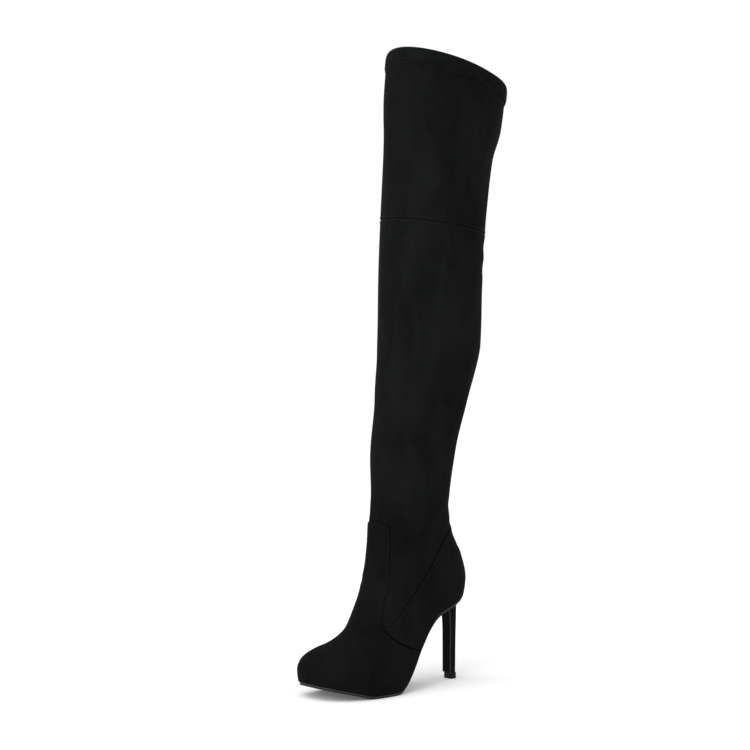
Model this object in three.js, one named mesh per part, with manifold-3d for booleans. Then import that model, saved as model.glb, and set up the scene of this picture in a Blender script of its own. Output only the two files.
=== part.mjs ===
// A thigh high boot for the left foot: stretch suede leg, hidden platform, stiletto heel and inner zip.
// Millimetres. +Z is up, the toe points along -Y, and +X is the outer side.
// Lengths along the foot are called fore: they are counted forwards from the middle of the heel tip.
import * as THREE from 'three';
import { mergeVertices } from 'three/addons/utils/BufferGeometryUtils.js';
import Module from 'manifold-3d';

const wasm = await Module();
wasm.setup();

// Driving dimensions of the last and the leg.
const FOOT_LENGTH = 221;
const BALL_WIDTH = 88;
const HEEL_HEIGHT = 95;
const ANKLE_RISE = 115;
const PLATFORM = 17;
const LEG_LENGTH = 489;
const THIGH_GIRTH = 434;
const KNEE_GIRTH = 379;
const CALF_GIRTH = 377;
const ANKLE_GIRTH = 272;

// Walls, soles and trims.
const WALL = 1.6;
const OVERLAY = 0.8;
const BAND_HEIGHT = 17.5;
const BAND_SWELL = 1.4;
const OUTSOLE = 3;
const SOLE_INSET = 0.8;
const INSOLE = 2;
const TUCK = 9;
const GAP = 0.3;

// Zip on the inner side. The slider stands at the top, with its pull hanging.
const ZIP_WIDTH = 5.5;
const ZIP_GROOVE = 0.9;
const ZIP_PROUD = 0.5;
const SLIDER_DOWN = 8;
const SLIDER = { width: 7, length: 9, thick: 2.4 };
const BRIDGE = { width: 1.8, length: 5.6, post: 1.2, rise: 3.2, top: 1 };
const PULL = { bar: 1.3, arm: 1, width: 6, thick: 1, length: 24, start: 4.2 };
const PLAY = 0.4;

// Heel.
const STEM_WIDTH = 15.2;
const FLARE_HEIGHT = 12;
const HEEL_BACK_SQUARE = 2.2;
const HEEL_BREAST_SQUARE = 5;
const TIP_WIDTH = 13.5;
const TIP_DEPTH = 9.4;
const TIP_ROUND = 2.6;
const TIP_HEIGHT = 7;

// How finely curved forms are cut into flats.
const AROUND = 30;
const FORM_STEPS = 2;
const HEEL_AROUND = 28;
const TIP_CURVE = 4;

// The leg from the collar down to the ankle, a row for each section.
// up: share of LEG_LENGTH above the ankle. fore: middle of the section, as a share of FOOT_LENGTH.
// girth: the named girth that it follows, times share. slim: width over depth.
// drop: fall from front to back as a share of the section's depth.
const LEG = [
  { name: 'collar', up: 1.0, fore: 0.0225, girth: THIGH_GIRTH, share: 0.985, slim: 0.93, drop: 0.35 },
  { name: 'thigh', up: 0.9, fore: 0.052, girth: THIGH_GIRTH, share: 0.972, slim: 0.93, drop: 0.29 },
  { name: 'lowThigh', up: 0.819, fore: 0.082, girth: KNEE_GIRTH, share: 1.025, slim: 0.92, drop: 0.24 },
  { name: 'knee', up: 0.639, fore: 0.12, girth: KNEE_GIRTH, share: 0.985, slim: 0.9, drop: 0.16 },
  { name: 'calf', up: 0.529, fore: 0.135, girth: CALF_GIRTH, share: 0.985, slim: 0.88, drop: 0.08 },
  { name: 'lowCalf', up: 0.372, fore: 0.147, girth: CALF_GIRTH, share: 0.98, slim: 0.875, drop: 0.03 },
  { name: 'shin', up: 0.23, fore: 0.201, girth: ANKLE_GIRTH, share: 1.158, slim: 0.86, drop: 0.02 },
  { name: 'lowShin', up: 0.1226, fore: 0.252, girth: ANKLE_GIRTH, share: 1.06, slim: 0.83, drop: 0.03 },
  { name: 'ankle', up: 0, fore: 0.28, girth: ANKLE_GIRTH, share: 1.0, slim: 0.8, drop: 0.06 },
];

// The sole's underside seen from the side, from behind the heel to beyond the toe.
// fore: share of FOOT_LENGTH. rise: share of HEEL_HEIGHT above the floor.
// spring: lift of the toe, as a share of FOOT_LENGTH.
const UNDERSIDE = [
  { name: 'behind', fore: -0.2, rise: 1.12, spring: 0 },
  { name: 'seatBack', fore: -0.03, rise: 1.0, spring: 0 },
  { name: 'breast', fore: 0.166, rise: 0.85, spring: 0 },
  { name: 'waist', fore: 0.25, rise: 0.68, spring: 0 },
  { name: 'shank', fore: 0.32, rise: 0.47, spring: 0 },
  { name: 'lowShank', fore: 0.386, rise: 0.255, spring: 0 },
  { name: 'ballBack', fore: 0.452, rise: 0.07, spring: 0 },
  { name: 'treadBack', fore: 0.508, rise: 0, spring: 0 },
  { name: 'treadFront', fore: 0.665, rise: 0, spring: 0 },
  { name: 'toe', fore: 0.765, rise: 0, spring: 0.0242 },
  { name: 'toeEnd', fore: 0.905, rise: 0, spring: 0.06 },
  { name: 'beyond', fore: 1.1, rise: 0, spring: 0.115 },
];

// The foot from below the ankle to the toe, seen from the side.
// fore: the front or top of the section, as a share of FOOT_LENGTH.
// over: its height over the section's bottom point, as a share of ANKLE_RISE, with plat times PLATFORM added.
// The bottom point has one of two forms. back is the back of the heel as a share of FOOT_LENGTH, and down its
// fall below the ankle as a share of ANKLE_RISE. sole is where it meets the sole, as a share of FOOT_LENGTH.
const FOOT_SIDE = [
  { name: 'cuff', fore: 0.506, over: 0.25, plat: 0, back: 0.033, down: 0.34 },
  { name: 'counter', fore: 0.528, over: 0.33, plat: 0, back: -0.03, down: 0.54 },
  { name: 'bulge', fore: 0.541, over: 0.4, plat: 0, back: -0.066, down: 0.79 },
  { name: 'seatEdge', fore: 0.555, over: 0.42, plat: 0, sole: -0.024 },
  { name: 'seat', fore: 0.57, over: 0.36, plat: 0, sole: 0.064 },
  { name: 'breast', fore: 0.585, over: 0.34, plat: 0, sole: 0.171 },
  { name: 'waist', fore: 0.622, over: 0.4, plat: 0, sole: 0.289 },
  { name: 'shank', fore: 0.672, over: 0.52, plat: 0, sole: 0.401 },
  { name: 'ballBack', fore: 0.71, over: 0.42, plat: 1, sole: 0.524 },
  { name: 'ball', fore: 0.762, over: 0.35, plat: 1, sole: 0.65 },
  { name: 'toeBox', fore: 0.818, over: 0.262, plat: 1, sole: 0.76 },
  { name: 'toe', fore: 0.872, over: 0.17, plat: 1, sole: 0.838 },
  { name: 'toeEnd', fore: 0.906, over: 0.085, plat: 1, sole: 0.88 },
  { name: 'nose', fore: 0.918, over: -0.02, plat: 1, sole: 0.903 },
  { name: 'tip', fore: 0.923, over: -0.1, plat: 1, sole: 0.912 },
];

// The same sections across. half: half width as a share of BALL_WIDTH.
// widest: where the widest place lies, from bottom to top.
// crown and square: roundness of the top and of the bottom part. pinch: bottom width over the widest.
// swing: set of the middle to the outer side, as a share of BALL_WIDTH.
const FOOT_ACROSS = [
  { name: 'cuff', half: 0.43, widest: 0.5, crown: 2, square: 2, pinch: 1, swing: 0 },
  { name: 'counter', half: 0.412, widest: 0.47, crown: 1.95, square: 2, pinch: 1, swing: 0 },
  { name: 'bulge', half: 0.4, widest: 0.43, crown: 1.95, square: 2.1, pinch: 1, swing: 0 },
  { name: 'seatEdge', half: 0.39, widest: 0.4, crown: 1.9, square: 2.3, pinch: 0.86, swing: 0 },
  { name: 'seat', half: 0.375, widest: 0.4, crown: 1.9, square: 5, pinch: 0.8, swing: 0.01 },
  { name: 'breast', half: 0.37, widest: 0.42, crown: 1.9, square: 7, pinch: 0.72, swing: 0.025 },
  { name: 'waist', half: 0.375, widest: 0.42, crown: 1.9, square: 7, pinch: 0.82, swing: 0.04 },
  { name: 'shank', half: 0.41, widest: 0.38, crown: 2, square: 7, pinch: 0.95, swing: 0.05 },
  { name: 'ballBack', half: 0.47, widest: 0.38, crown: 2.05, square: 7, pinch: 0.99, swing: 0.04 },
  { name: 'ball', half: 0.495, widest: 0.42, crown: 2.1, square: 7, pinch: 0.97, swing: 0.01 },
  { name: 'toeBox', half: 0.465, widest: 0.46, crown: 2.2, square: 7, pinch: 0.96, swing: -0.02 },
  { name: 'toe', half: 0.4, widest: 0.5, crown: 2.2, square: 6, pinch: 0.95, swing: -0.045 },
  { name: 'toeEnd', half: 0.3, widest: 0.5, crown: 2.2, square: 4, pinch: 0.95, swing: -0.06 },
  { name: 'nose', half: 0.19, widest: 0.5, crown: 2.1, square: 3, pinch: 0.97, swing: -0.07 },
  { name: 'tip', half: 0.06, widest: 0.5, crown: 2, square: 2, pinch: 1, swing: -0.075 },
];

// The covered heel, from the seat to the tip.
// level: 0 lies along the seat, below it by a share of FLARE_HEIGHT. 1 is level, up by a share of the height
// over the tip. back and breast: ends as shares of FOOT_LENGTH. half: share of half the STEM_WIDTH.
const HEEL = [
  { name: 'seat', level: 0, below: 0, up: 1, back: -0.03, breast: 0.16, half: 2.6 },
  { name: 'seatRim', level: 0, below: 0.16, up: 1, back: -0.0295, breast: 0.158, half: 2.5 },
  { name: 'cup', level: 0, below: 0.4, up: 1, back: -0.029, breast: 0.11, half: 1.75 },
  { name: 'flare', level: 0.5, below: 0.8, up: 0.9, back: -0.0285, breast: 0.06, half: 1.25 },
  { name: 'stemTop', level: 1, below: 1, up: 0.8, back: -0.028, breast: 0.034, half: 1.04 },
  { name: 'stem', level: 1, below: 1, up: 0.55, back: -0.0245, breast: 0.026, half: 1 },
  { name: 'stemEnd', level: 1, below: 1, up: 0, back: -0.0212, breast: 0.026, half: 0.94 },
];

// Edges of the vamp and of the counter over the rest of the upper. Each point lies at a row of the tables above,
// or on, a share of the way from that row to the next.
// side: how far round the edge runs. 0 is the front, 0.5 the outer and inner side, 1 the back or underneath.
const VAMP = [
  { from: 'cuff', on: 0.5, side: 0.03 },
  { from: 'cuff', on: 0.65, side: 0.09 },
  { from: 'counter', on: 0, side: 0.135 },
  { from: 'bulge', on: 0.5, side: 0.145 },
  { from: 'breast', on: 0, side: 0.19 },
  { from: 'breast', on: 0.8, side: 0.21 },
  { from: 'waist', on: 0.38, side: 0.235 },
  { from: 'waist', on: 0.52, side: 0.28 },
  { from: 'waist', on: 0.62, side: 0.45 },
  { from: 'waist', on: 0.74, side: 0.7 },
  { from: 'shank', on: 0, side: 0.9 },
  { from: 'nose', on: 0.9, side: 0.9 },
];
const COUNTER = [
  { from: 'ankle', on: 0.6, side: 0.96 },
  { from: 'cuff', on: 0, side: 0.8 },
  { from: 'cuff', on: 0.5, side: 0.63 },
  { from: 'counter', on: 0.07, side: 0.56 },
  { from: 'bulge', on: 0.22, side: 0.45 },
  { from: 'seatEdge', on: 0.2, side: 0.385 },
  { from: 'breast', on: 0.26, side: 0.375 },
  { from: 'breast', on: 0.9, side: 0.35 },
  { from: 'waist', on: 0.3, side: 0.32 },
];

// Middle of the zip, on the inner side.
const ZIP = [
  { from: 'calf', on: 0.96, side: -0.36 },
  { from: 'shin', on: 0, side: -0.37 },
  { from: 'ankle', on: 0, side: -0.41 },
  { from: 'counter', on: 0.5, side: -0.45 },
];

const ANKLE_HEIGHT = HEEL_HEIGHT + ANKLE_RISE;

// A smooth curve through the values of a table that never overshoots them.
function throughValues(at, values) {
  const last = at.length - 1;
  const pitch = values.slice(1).map((v, i) => (v - values[i]) / (at[i + 1] - at[i]));
  const slope = values.map((_, i) => {
    if (i === 0) return pitch[0];
    if (i === last) return pitch[last - 1];
    if (pitch[i - 1] * pitch[i] <= 0) return 0;
    const before = at[i] - at[i - 1];
    const after = at[i + 1] - at[i];
    const weighed = (2 * after + before) / pitch[i - 1] + (after + 2 * before) / pitch[i];
    return (3 * (before + after)) / weighed;
  });
  return (x) => {
    let i = 0;
    while (i < last - 1 && x > at[i + 1]) i += 1;
    const run = at[i + 1] - at[i];
    const t = (x - at[i]) / run;
    if (t < 0) return values[i] + slope[i] * (x - at[i]);
    if (t > 1) return values[i + 1] + slope[i + 1] * (x - at[i + 1]);
    const u = 1 - t;
    return (
      values[i] * (1 + 2 * t) * u * u +
      slope[i] * run * t * u * u +
      values[i + 1] * (3 - 2 * t) * t * t -
      slope[i + 1] * run * u * t * t
    );
  };
}

// Height of the sole's underside.
const soleHeight = throughValues(
  UNDERSIDE.map((row) => row.fore * FOOT_LENGTH),
  UNDERSIDE.map((row) => row.rise * HEEL_HEIGHT + row.spring * FOOT_LENGTH),
);

// The point that lies a distance above the sole's underside, square to its line.
function besideSole(fore, above) {
  const step = 0.5;
  const pitch = (soleHeight(fore + step) - soleHeight(fore - step)) / (2 * step);
  const size = Math.hypot(1, pitch);
  return { fore: fore - (above * pitch) / size, z: soleHeight(fore) + above / size };
}

// Half depth of an oval of the given girth and width over depth.
function halfDepth(girth, slim) {
  return girth / (Math.PI * (3 * (1 + slim) - Math.sqrt((3 + slim) * (1 + 3 * slim))));
}

function legStation(row) {
  const depth = halfDepth(row.girth * row.share, row.slim);
  const middle = row.fore * FOOT_LENGTH;
  const height = ANKLE_HEIGHT + row.up * LEG_LENGTH;
  return {
    frontFore: middle + depth,
    frontZ: height + row.drop * depth,
    backFore: middle - depth,
    backZ: height - row.drop * depth,
    half: depth * row.slim,
    widest: 0.5,
    crown: 2,
    square: 2,
    pinch: 1,
    swing: 0,
  };
}

function footStation(row, i) {
  const across = FOOT_ACROSS[i];
  const bottom =
    row.sole === undefined
      ? { fore: row.back * FOOT_LENGTH, z: ANKLE_HEIGHT - row.down * ANKLE_RISE }
      : besideSole(row.sole * FOOT_LENGTH, OUTSOLE + GAP - TUCK);
  return {
    frontFore: row.fore * FOOT_LENGTH,
    frontZ: bottom.z + row.over * ANKLE_RISE + row.plat * (PLATFORM + TUCK),
    backFore: bottom.fore,
    backZ: bottom.z,
    half: across.half * BALL_WIDTH,
    widest: across.widest,
    crown: across.crown,
    square: across.square,
    pinch: across.pinch,
    swing: across.swing * BALL_WIDTH,
  };
}

// The stations from collar to toe, each with its distance down the boot.
const STATIONS = [...LEG.map(legStation), ...FOOT_SIDE.map(footStation)];
const STATION_NAMES = [...LEG, ...FOOT_SIDE].map((row) => row.name);
const DOWN = [0];
STATIONS.slice(1).forEach((here, i) => {
  const before = STATIONS[i];
  const front = Math.hypot(here.frontFore - before.frontFore, here.frontZ - before.frontZ);
  const back = Math.hypot(here.backFore - before.backFore, here.backZ - before.backZ);
  DOWN.push(DOWN[i] + Math.max((front + back) / 2, Math.abs(here.half - before.half)));
});
const COLUMNS = Object.fromEntries(
  Object.keys(STATIONS[0]).map((key) => [key, throughValues(DOWN, STATIONS.map((row) => row[key]))]),
);
// A place down the boot: a named row, or on, a share of the way from it to the next one.
function at(name, on = 0) {
  const i = STATION_NAMES.indexOf(name);
  return on ? THREE.MathUtils.lerp(DOWN[i], DOWN[i + 1], on) : DOWN[i];
}
const TIP = DOWN[DOWN.length - 1];

// One section of the boot as an even walk from front or top (0) to back or bottom (1), on the outer side.
const WALK = 72;
function sectionAt(down) {
  const row = Object.fromEntries(Object.entries(COLUMNS).map(([key, curve]) => [key, curve(down)]));
  const points = [];
  for (let i = 0; i <= WALK; i += 1) {
    const turn = (Math.PI * i) / WALK;
    const upper = turn < Math.PI / 2;
    const power = 2 / (upper ? row.crown : row.square);
    const reach = Math.abs(Math.cos(turn)) ** power;
    const wide = Math.abs(Math.sin(turn)) ** power;
    points.push({
      share: upper ? row.widest + (1 - row.widest) * reach : row.widest * (1 - reach),
      x: row.half * wide * (upper ? 1 : 1 - (1 - row.pinch) * reach * reach),
    });
  }
  const span = Math.hypot(row.frontFore - row.backFore, row.frontZ - row.backZ);
  const length = [0];
  for (let i = 1; i <= WALK; i += 1) {
    const a = points[i - 1];
    const b = points[i];
    length.push(length[i - 1] + Math.hypot((b.share - a.share) * span, b.x - a.x));
  }
  return { row, points, length };
}

// A point of the boot's surface. side runs from -1 to 1: 0 is the front, 1 and -1 are the back, and the outer
// side is above 0.
function surfacePoint(section, side) {
  const wrapped = side > 1 ? side - 2 : side < -1 ? side + 2 : side;
  const { row, points, length } = section;
  const goal = Math.abs(wrapped) * length[WALK];
  let i = 1;
  while (i < WALK && length[i] < goal) i += 1;
  const t = (goal - length[i - 1]) / Math.max(length[i] - length[i - 1], 1e-9);
  const share = THREE.MathUtils.lerp(points[i - 1].share, points[i].share, t);
  const x = THREE.MathUtils.lerp(points[i - 1].x, points[i].x, t);
  return new THREE.Vector3(
    row.swing + Math.sign(wrapped) * x,
    -THREE.MathUtils.lerp(row.backFore, row.frontFore, share),
    THREE.MathUtils.lerp(row.backZ, row.frontZ, share),
  );
}

const sectionCache = new Map();
function sectionNear(down) {
  if (!sectionCache.has(down)) sectionCache.set(down, sectionAt(down));
  return sectionCache.get(down);
}

// A point of the boot's surface moved outwards by out, square to the surface.
function pointBeside(down, side, out) {
  const step = 1;
  const turn = 0.02;
  const middle = sectionNear(down);
  const along = surfacePoint(sectionNear(down + step), side);
  along.sub(surfacePoint(sectionNear(down - step), side));
  const across = surfacePoint(middle, side + turn).sub(surfacePoint(middle, side - turn));
  return surfacePoint(middle, side).addScaledVector(across.cross(along).normalize(), -out);
}

// The section at a place down the boot as a closed ring of points, grown by out.
function ringAt(down, out) {
  return Array.from({ length: AROUND }, (_, i) => pointBeside(down, -1 + (2 * i) / AROUND, out));
}

// A closed mesh as a solid that can be joined and cut.
function solidOf(positions, triangles) {
  const geometry = new THREE.BufferGeometry();
  geometry.setAttribute('position', new THREE.Float32BufferAttribute(positions, 3));
  geometry.setIndex(triangles);
  return manifoldOf(geometry);
}

function manifoldOf(source) {
  const geometry = source.clone();
  geometry.deleteAttribute('normal');
  geometry.deleteAttribute('uv');
  const merged = mergeVertices(geometry, 1e-4);
  return new wasm.Manifold(
    new wasm.Mesh({
      numProp: 3,
      vertProperties: merged.attributes.position.array,
      triVerts: new Uint32Array(merged.index.array),
    }),
  );
}

// A solid through closed rows of points, with a fan over the first and the last. Where the rows loop, the
// last row joins the first instead.
function loft(rings, loops = false) {
  const around = rings[0].length;
  const positions = rings.flat().flatMap((p) => [p.x, p.y, p.z]);
  const triangles = [];
  const quads = loops ? rings.length : rings.length - 1;
  for (let r = 0; r < quads; r += 1) {
    const next = (r + 1) % rings.length;
    for (let i = 0; i < around; i += 1) {
      const j = (i + 1) % around;
      const [a, b, c, d] = [r * around + i, r * around + j, next * around + j, next * around + i];
      triangles.push(a, c, b, a, d, c);
    }
  }
  if (!loops) {
    [rings[0], rings[rings.length - 1]].forEach((ring, end) => {
      const middle = ring.reduce((sum, p) => sum.add(p), new THREE.Vector3()).divideScalar(around);
      const hub = positions.length / 3;
      const first = end ? (rings.length - 1) * around : 0;
      positions.push(middle.x, middle.y, middle.z);
      for (let i = 0; i < around; i += 1) {
        const j = (i + 1) % around;
        triangles.push(hub, ...(end ? [first + j, first + i] : [first + i, first + j]));
      }
    });
  }
  return solidOf(positions, triangles);
}

// Places along the boot between two ends, with the tables' rows among them, but none too near an end.
const NEAR = 3;
function steps(from, to) {
  const stops = [from, ...DOWN.filter((d) => d > from + NEAR && d < to - NEAR), to];
  const between = (a, b) =>
    Array.from({ length: FORM_STEPS }, (_, k) => THREE.MathUtils.lerp(a, b, k / FORM_STEPS));
  return [...stops.slice(1).flatMap((stop, i) => between(stops[i], stop)), to];
}

// The whole form from a place on the leg to the toe, grown by out.
function form(from, out) {
  return loft(steps(from, TIP).map((down) => ringAt(down, out)));
}

// A sleeve between two places on the leg, open at both ends.
function sleeve(from, to, outside, inside) {
  const walk = steps(from, to);
  return loft(
    [...walk.map((down) => ringAt(down, outside)), ...walk.reverse().map((down) => ringAt(down, inside))],
    true,
  );
}

// A patch of the boot's surface, thick from inside to outside, between two edges that are rows of a table.
const PATCH_COLUMNS = 14;
const placeOf = (row) => at(row.from, row.on);
const edgeOf = (rows) => throughValues(rows.map(placeOf), rows.map((row) => row.side));
function patch(rows, sideFrom, sideTo, inside, outside, columns = PATCH_COLUMNS) {
  const stops = rows.map(placeOf);
  const clear = (down) => stops.every((stop) => Math.abs(stop - down) > NEAR);
  const between = steps(stops[0], stops[stops.length - 1]).filter(clear);
  const walk = [...stops, ...between].sort((a, b) => a - b);
  const rings = walk.map((down) => {
    const edge = (out) =>
      Array.from({ length: columns + 1 }, (_, i) =>
        pointBeside(down, THREE.MathUtils.lerp(sideFrom(down), sideTo(down), i / columns), out),
      );
    return [...edge(outside), ...edge(inside).reverse()];
  });
  return loft(rings);
}

// A slab wider than the boot, between two lines at a distance above the sole's underside. lowerLift and
// upperLift give what each line rises beyond that at each fore.
const SLAB_STEPS = 40;
const flat = () => 0;
function slab(lower, upper, lowerLift = flat, upperLift = flat) {
  const across = BALL_WIDTH * 2;
  const from = UNDERSIDE[0].fore * FOOT_LENGTH;
  const to = UNDERSIDE[UNDERSIDE.length - 1].fore * FOOT_LENGTH;
  const walk = (above, lift) =>
    Array.from({ length: SLAB_STEPS + 1 }, (_, i) => {
      const fore = THREE.MathUtils.lerp(from, to, i / SLAB_STEPS);
      const p = besideSole(fore, above);
      return new THREE.Vector2(p.fore, p.z + lift(fore));
    });
  const shape = new THREE.Shape([...walk(lower, lowerLift), ...walk(upper, upperLift).reverse()]);
  const geometry = new THREE.ExtrudeGeometry(shape, { depth: across, bevelEnabled: false });
  geometry.translate(0, 0, -across / 2);
  // The drawing's axes are fore, height and across: turn them to -Y, Z and X.
  geometry.applyMatrix4(new THREE.Matrix4().set(0, 0, -1, 0, -1, 0, 0, 0, 0, 1, 0, 0, 0, 0, 0, 1));
  return manifoldOf(geometry);
}

const root = new THREE.Group();
function addPiece(name, solid, material, parent = root) {
  const mesh = solid.getMesh();
  const geometry = new THREE.BufferGeometry();
  geometry.setAttribute('position', new THREE.Float32BufferAttribute(mesh.vertProperties, 3));
  geometry.setIndex(new THREE.BufferAttribute(mesh.triVerts, 1));
  geometry.computeVertexNormals();
  const piece = new THREE.Mesh(geometry, material);
  piece.name = name;
  parent.add(piece);
  return piece;
}

const suede = new THREE.MeshStandardMaterial({ color: 0x141515, roughness: 0.95, metalness: 0 });
const elastic = new THREE.MeshStandardMaterial({ color: 0x121313, roughness: 0.85, metalness: 0 });
const rubber = new THREE.MeshStandardMaterial({ color: 0x1c1c1d, roughness: 0.6, metalness: 0 });
const lining = new THREE.MeshStandardMaterial({ color: 0x1a1817, roughness: 0.8, metalness: 0 });
const metal = new THREE.MeshStandardMaterial({ color: 0x2a2a2b, roughness: 0.35, metalness: 0.9 });

const COLLAR = at('collar');
const KNEE_SEAM = at('knee');
const BAND_END = COLLAR + BAND_HEIGHT;

// The hidden platform's height above the outsole: nothing under the heel, all of it under the ball and toe.
const PLATFORM_START = 0.3;
const PLATFORM_FULL = 0.5;
function platformAt(fore) {
  return PLATFORM * THREE.MathUtils.smoothstep(fore / FOOT_LENGTH, PLATFORM_START, PLATFORM_FULL);
}

// Panels of the upper start this far inside its surface, and forms that cut it run this far past it. What of
// a panel passes the wall is cut away with the inside.
const PANEL_ROOT = WALL * 1.5;
const OVERRUN = WALL * 4;

// A strip along the zip's line, as wide as width.
function zipStrip(width, inside, outside) {
  const middle = edgeOf(ZIP);
  const reach = (down) => width / 2 / sectionNear(down).length[WALK];
  return patch(ZIP, (d) => middle(d) - reach(d), (d) => middle(d) + reach(d), inside, outside, 2);
}

// Upper: foot and leg up to the knee seam, with the vamp and the counter as thicker panels of its wall, and a
// groove for the zip.
function buildUpper() {
  const outside = form(KNEE_SEAM + GAP / 2, 0);
  const inside = form(KNEE_SEAM - OVERRUN, -WALL);
  const below = slab(-TUCK - OVERRUN, OUTSOLE + GAP);
  const vampEdge = edgeOf(VAMP);
  const vamp = patch(VAMP, (d) => -vampEdge(d), vampEdge, -PANEL_ROOT, OVERLAY);
  const counterEdge = edgeOf(COUNTER);
  const counter = patch(COUNTER, counterEdge, (d) => 2 - counterEdge(d), -PANEL_ROOT, OVERLAY);
  const groove = zipStrip(ZIP_WIDTH + 2 * GAP, -ZIP_GROOVE, OVERRUN);
  return outside.add(vamp).add(counter).subtract(groove).subtract(inside).subtract(below);
}

// Outsole: a thin sole that shows as an edge, with the platform that fills the upper's bottom under the foot.
function buildOutsole() {
  const plate = slab(0, OUTSOLE).intersect(form(at('cuff'), -SOLE_INSET));
  const platform = slab(OUTSOLE / 2, OUTSOLE, flat, platformAt);
  return plate.add(platform.intersect(form(at('cuff'), -WALL - GAP)));
}

// Insole: a board on the outsole and its platform, inside the upper.
function buildInsole() {
  const board = slab(OUTSOLE + GAP, OUTSOLE + GAP + INSOLE, platformAt, platformAt);
  return board.intersect(form(at('cuff'), -WALL - GAP));
}

// Heel: a slim covered stem that widens fast under the seat.
function buildHeel() {
  const rings = HEEL.map((row) => {
    const back = row.back * FOOT_LENGTH;
    const breast = row.breast * FOOT_LENGTH;
    const half = (row.half * STEM_WIDTH) / 2;
    return Array.from({ length: HEEL_AROUND }, (_, i) => {
      const turn = (2 * Math.PI * (i + 0.5)) / HEEL_AROUND;
      const square = Math.cos(turn) < 0 ? HEEL_BREAST_SQUARE : HEEL_BACK_SQUARE;
      const along = Math.sign(Math.cos(turn)) * Math.abs(Math.cos(turn)) ** (2 / square);
      const across = -Math.sign(Math.sin(turn)) * Math.abs(Math.sin(turn)) ** (2 / square);
      const fore = THREE.MathUtils.lerp(back, breast, (1 - along) / 2);
      const seat = besideSole(fore, -GAP - row.below * FLARE_HEIGHT).z;
      const level = TIP_HEIGHT + GAP + row.up * (HEEL_HEIGHT - TIP_HEIGHT - GAP);
      return new THREE.Vector3(across * half, -fore, THREE.MathUtils.lerp(seat, level, row.level));
    });
  });
  return loft(rings);
}

// Heel tip: a hard rubber block under the stem.
function buildHeelTip() {
  const outline = new THREE.Shape();
  const half = { across: TIP_WIDTH / 2 - TIP_ROUND, along: TIP_DEPTH / 2 - TIP_ROUND };
  outline.absarc(half.across, half.along, TIP_ROUND, 0, Math.PI / 2, false);
  outline.absarc(-half.across, half.along, TIP_ROUND, Math.PI / 2, Math.PI, false);
  outline.absarc(-half.across, -half.along, TIP_ROUND, Math.PI, Math.PI * 1.5, false);
  outline.absarc(half.across, -half.along, TIP_ROUND, Math.PI * 1.5, Math.PI * 2, false);
  const form = { depth: TIP_HEIGHT, bevelEnabled: false, curveSegments: TIP_CURVE };
  return manifoldOf(new THREE.ExtrudeGeometry(outline, form));
}

// The zip's own frame at the slider: X across the zip, Y up along it and Z out of the boot.
function zipFrame() {
  const down = placeOf(ZIP[0]) + SLIDER_DOWN;
  const side = edgeOf(ZIP)(down);
  const seat = pointBeside(down, side, 0);
  const out = pointBeside(down, side, 1).sub(seat);
  const up = pointBeside(down - 1, side, 0).sub(pointBeside(down + 1, side, 0));
  const across = new THREE.Vector3().crossVectors(up, out).normalize();
  up.crossVectors(out, across).normalize();
  return new THREE.Matrix4().makeBasis(across, up, out.normalize()).setPosition(seat);
}

// A box in the zip's frame, between two heights over the boot.
function block(width, length, low, high, x = 0, y = 0) {
  const box = new THREE.BoxGeometry(width, length, high - low);
  box.translate(x, y, (low + high) / 2);
  return manifoldOf(box);
}

// Slider: a flat body over the chain, with a bridge that holds the pull.
const SLIDER_LOW = ZIP_PROUD + GAP;
const SLIDER_TOP = SLIDER_LOW + SLIDER.thick;
const PULL_AXIS = SLIDER_TOP + PLAY + PULL.bar / 2;
function buildSlider() {
  const body = block(SLIDER.width, SLIDER.length, SLIDER_LOW, SLIDER_TOP);
  const rise = SLIDER_TOP + BRIDGE.rise;
  const post = (BRIDGE.length - BRIDGE.post) / 2;
  const low = SLIDER_TOP - SLIDER.thick / 2;
  return [post, -post].reduce(
    (solid, y) => solid.add(block(BRIDGE.width, BRIDGE.post, low, rise, 0, y)),
    body.add(block(BRIDGE.width, BRIDGE.length, rise - BRIDGE.top, rise)),
  );
}

// Pull: a bar through the bridge, two arms and a tab, which lies down along the zip.
const BAR_SIDES = 12;
function buildPull() {
  const inner = BRIDGE.width / 2 + PLAY;
  const bar = new THREE.CylinderGeometry(PULL.bar / 2, PULL.bar / 2, 2 * (inner + PULL.arm), BAR_SIDES);
  bar.rotateZ(Math.PI / 2);
  bar.translate(0, 0, PULL_AXIS);
  const half = PULL.thick / 2;
  const reach = PULL.start + PULL.arm;
  const arms = [-1, 1].map((way) =>
    block(PULL.arm, reach, PULL_AXIS - half, PULL_AXIS + half, way * (inner + PULL.arm / 2), -reach / 2),
  );
  const length = PULL.length - PULL.start;
  const tab = block(PULL.width, length, PULL_AXIS - half, PULL_AXIS + half, 0, -PULL.start - length / 2);
  return arms.reduce((solid, arm) => solid.add(arm), manifoldOf(bar)).add(tab);
}

const zip = new THREE.Group();
zip.applyMatrix4(zipFrame());
root.add(zip);

addPiece('top_band', sleeve(COLLAR, BAND_END - GAP / 2, BAND_SWELL, -WALL), elastic);
addPiece('thigh_panel', sleeve(BAND_END + GAP / 2, KNEE_SEAM - GAP / 2, 0, -WALL), suede);
addPiece('upper', buildUpper(), suede);
addPiece('outsole', buildOutsole(), rubber);
addPiece('insole', buildInsole(), lining);
addPiece('heel', buildHeel(), suede);
addPiece('heel_tip', buildHeelTip(), rubber);
addPiece('zip_chain', zipStrip(ZIP_WIDTH, -ZIP_GROOVE + GAP, ZIP_PROUD), metal);
addPiece('zip_slider', buildSlider(), metal, zip);
addPiece('zip_pull', buildPull(), metal, zip);
export default root;
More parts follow.
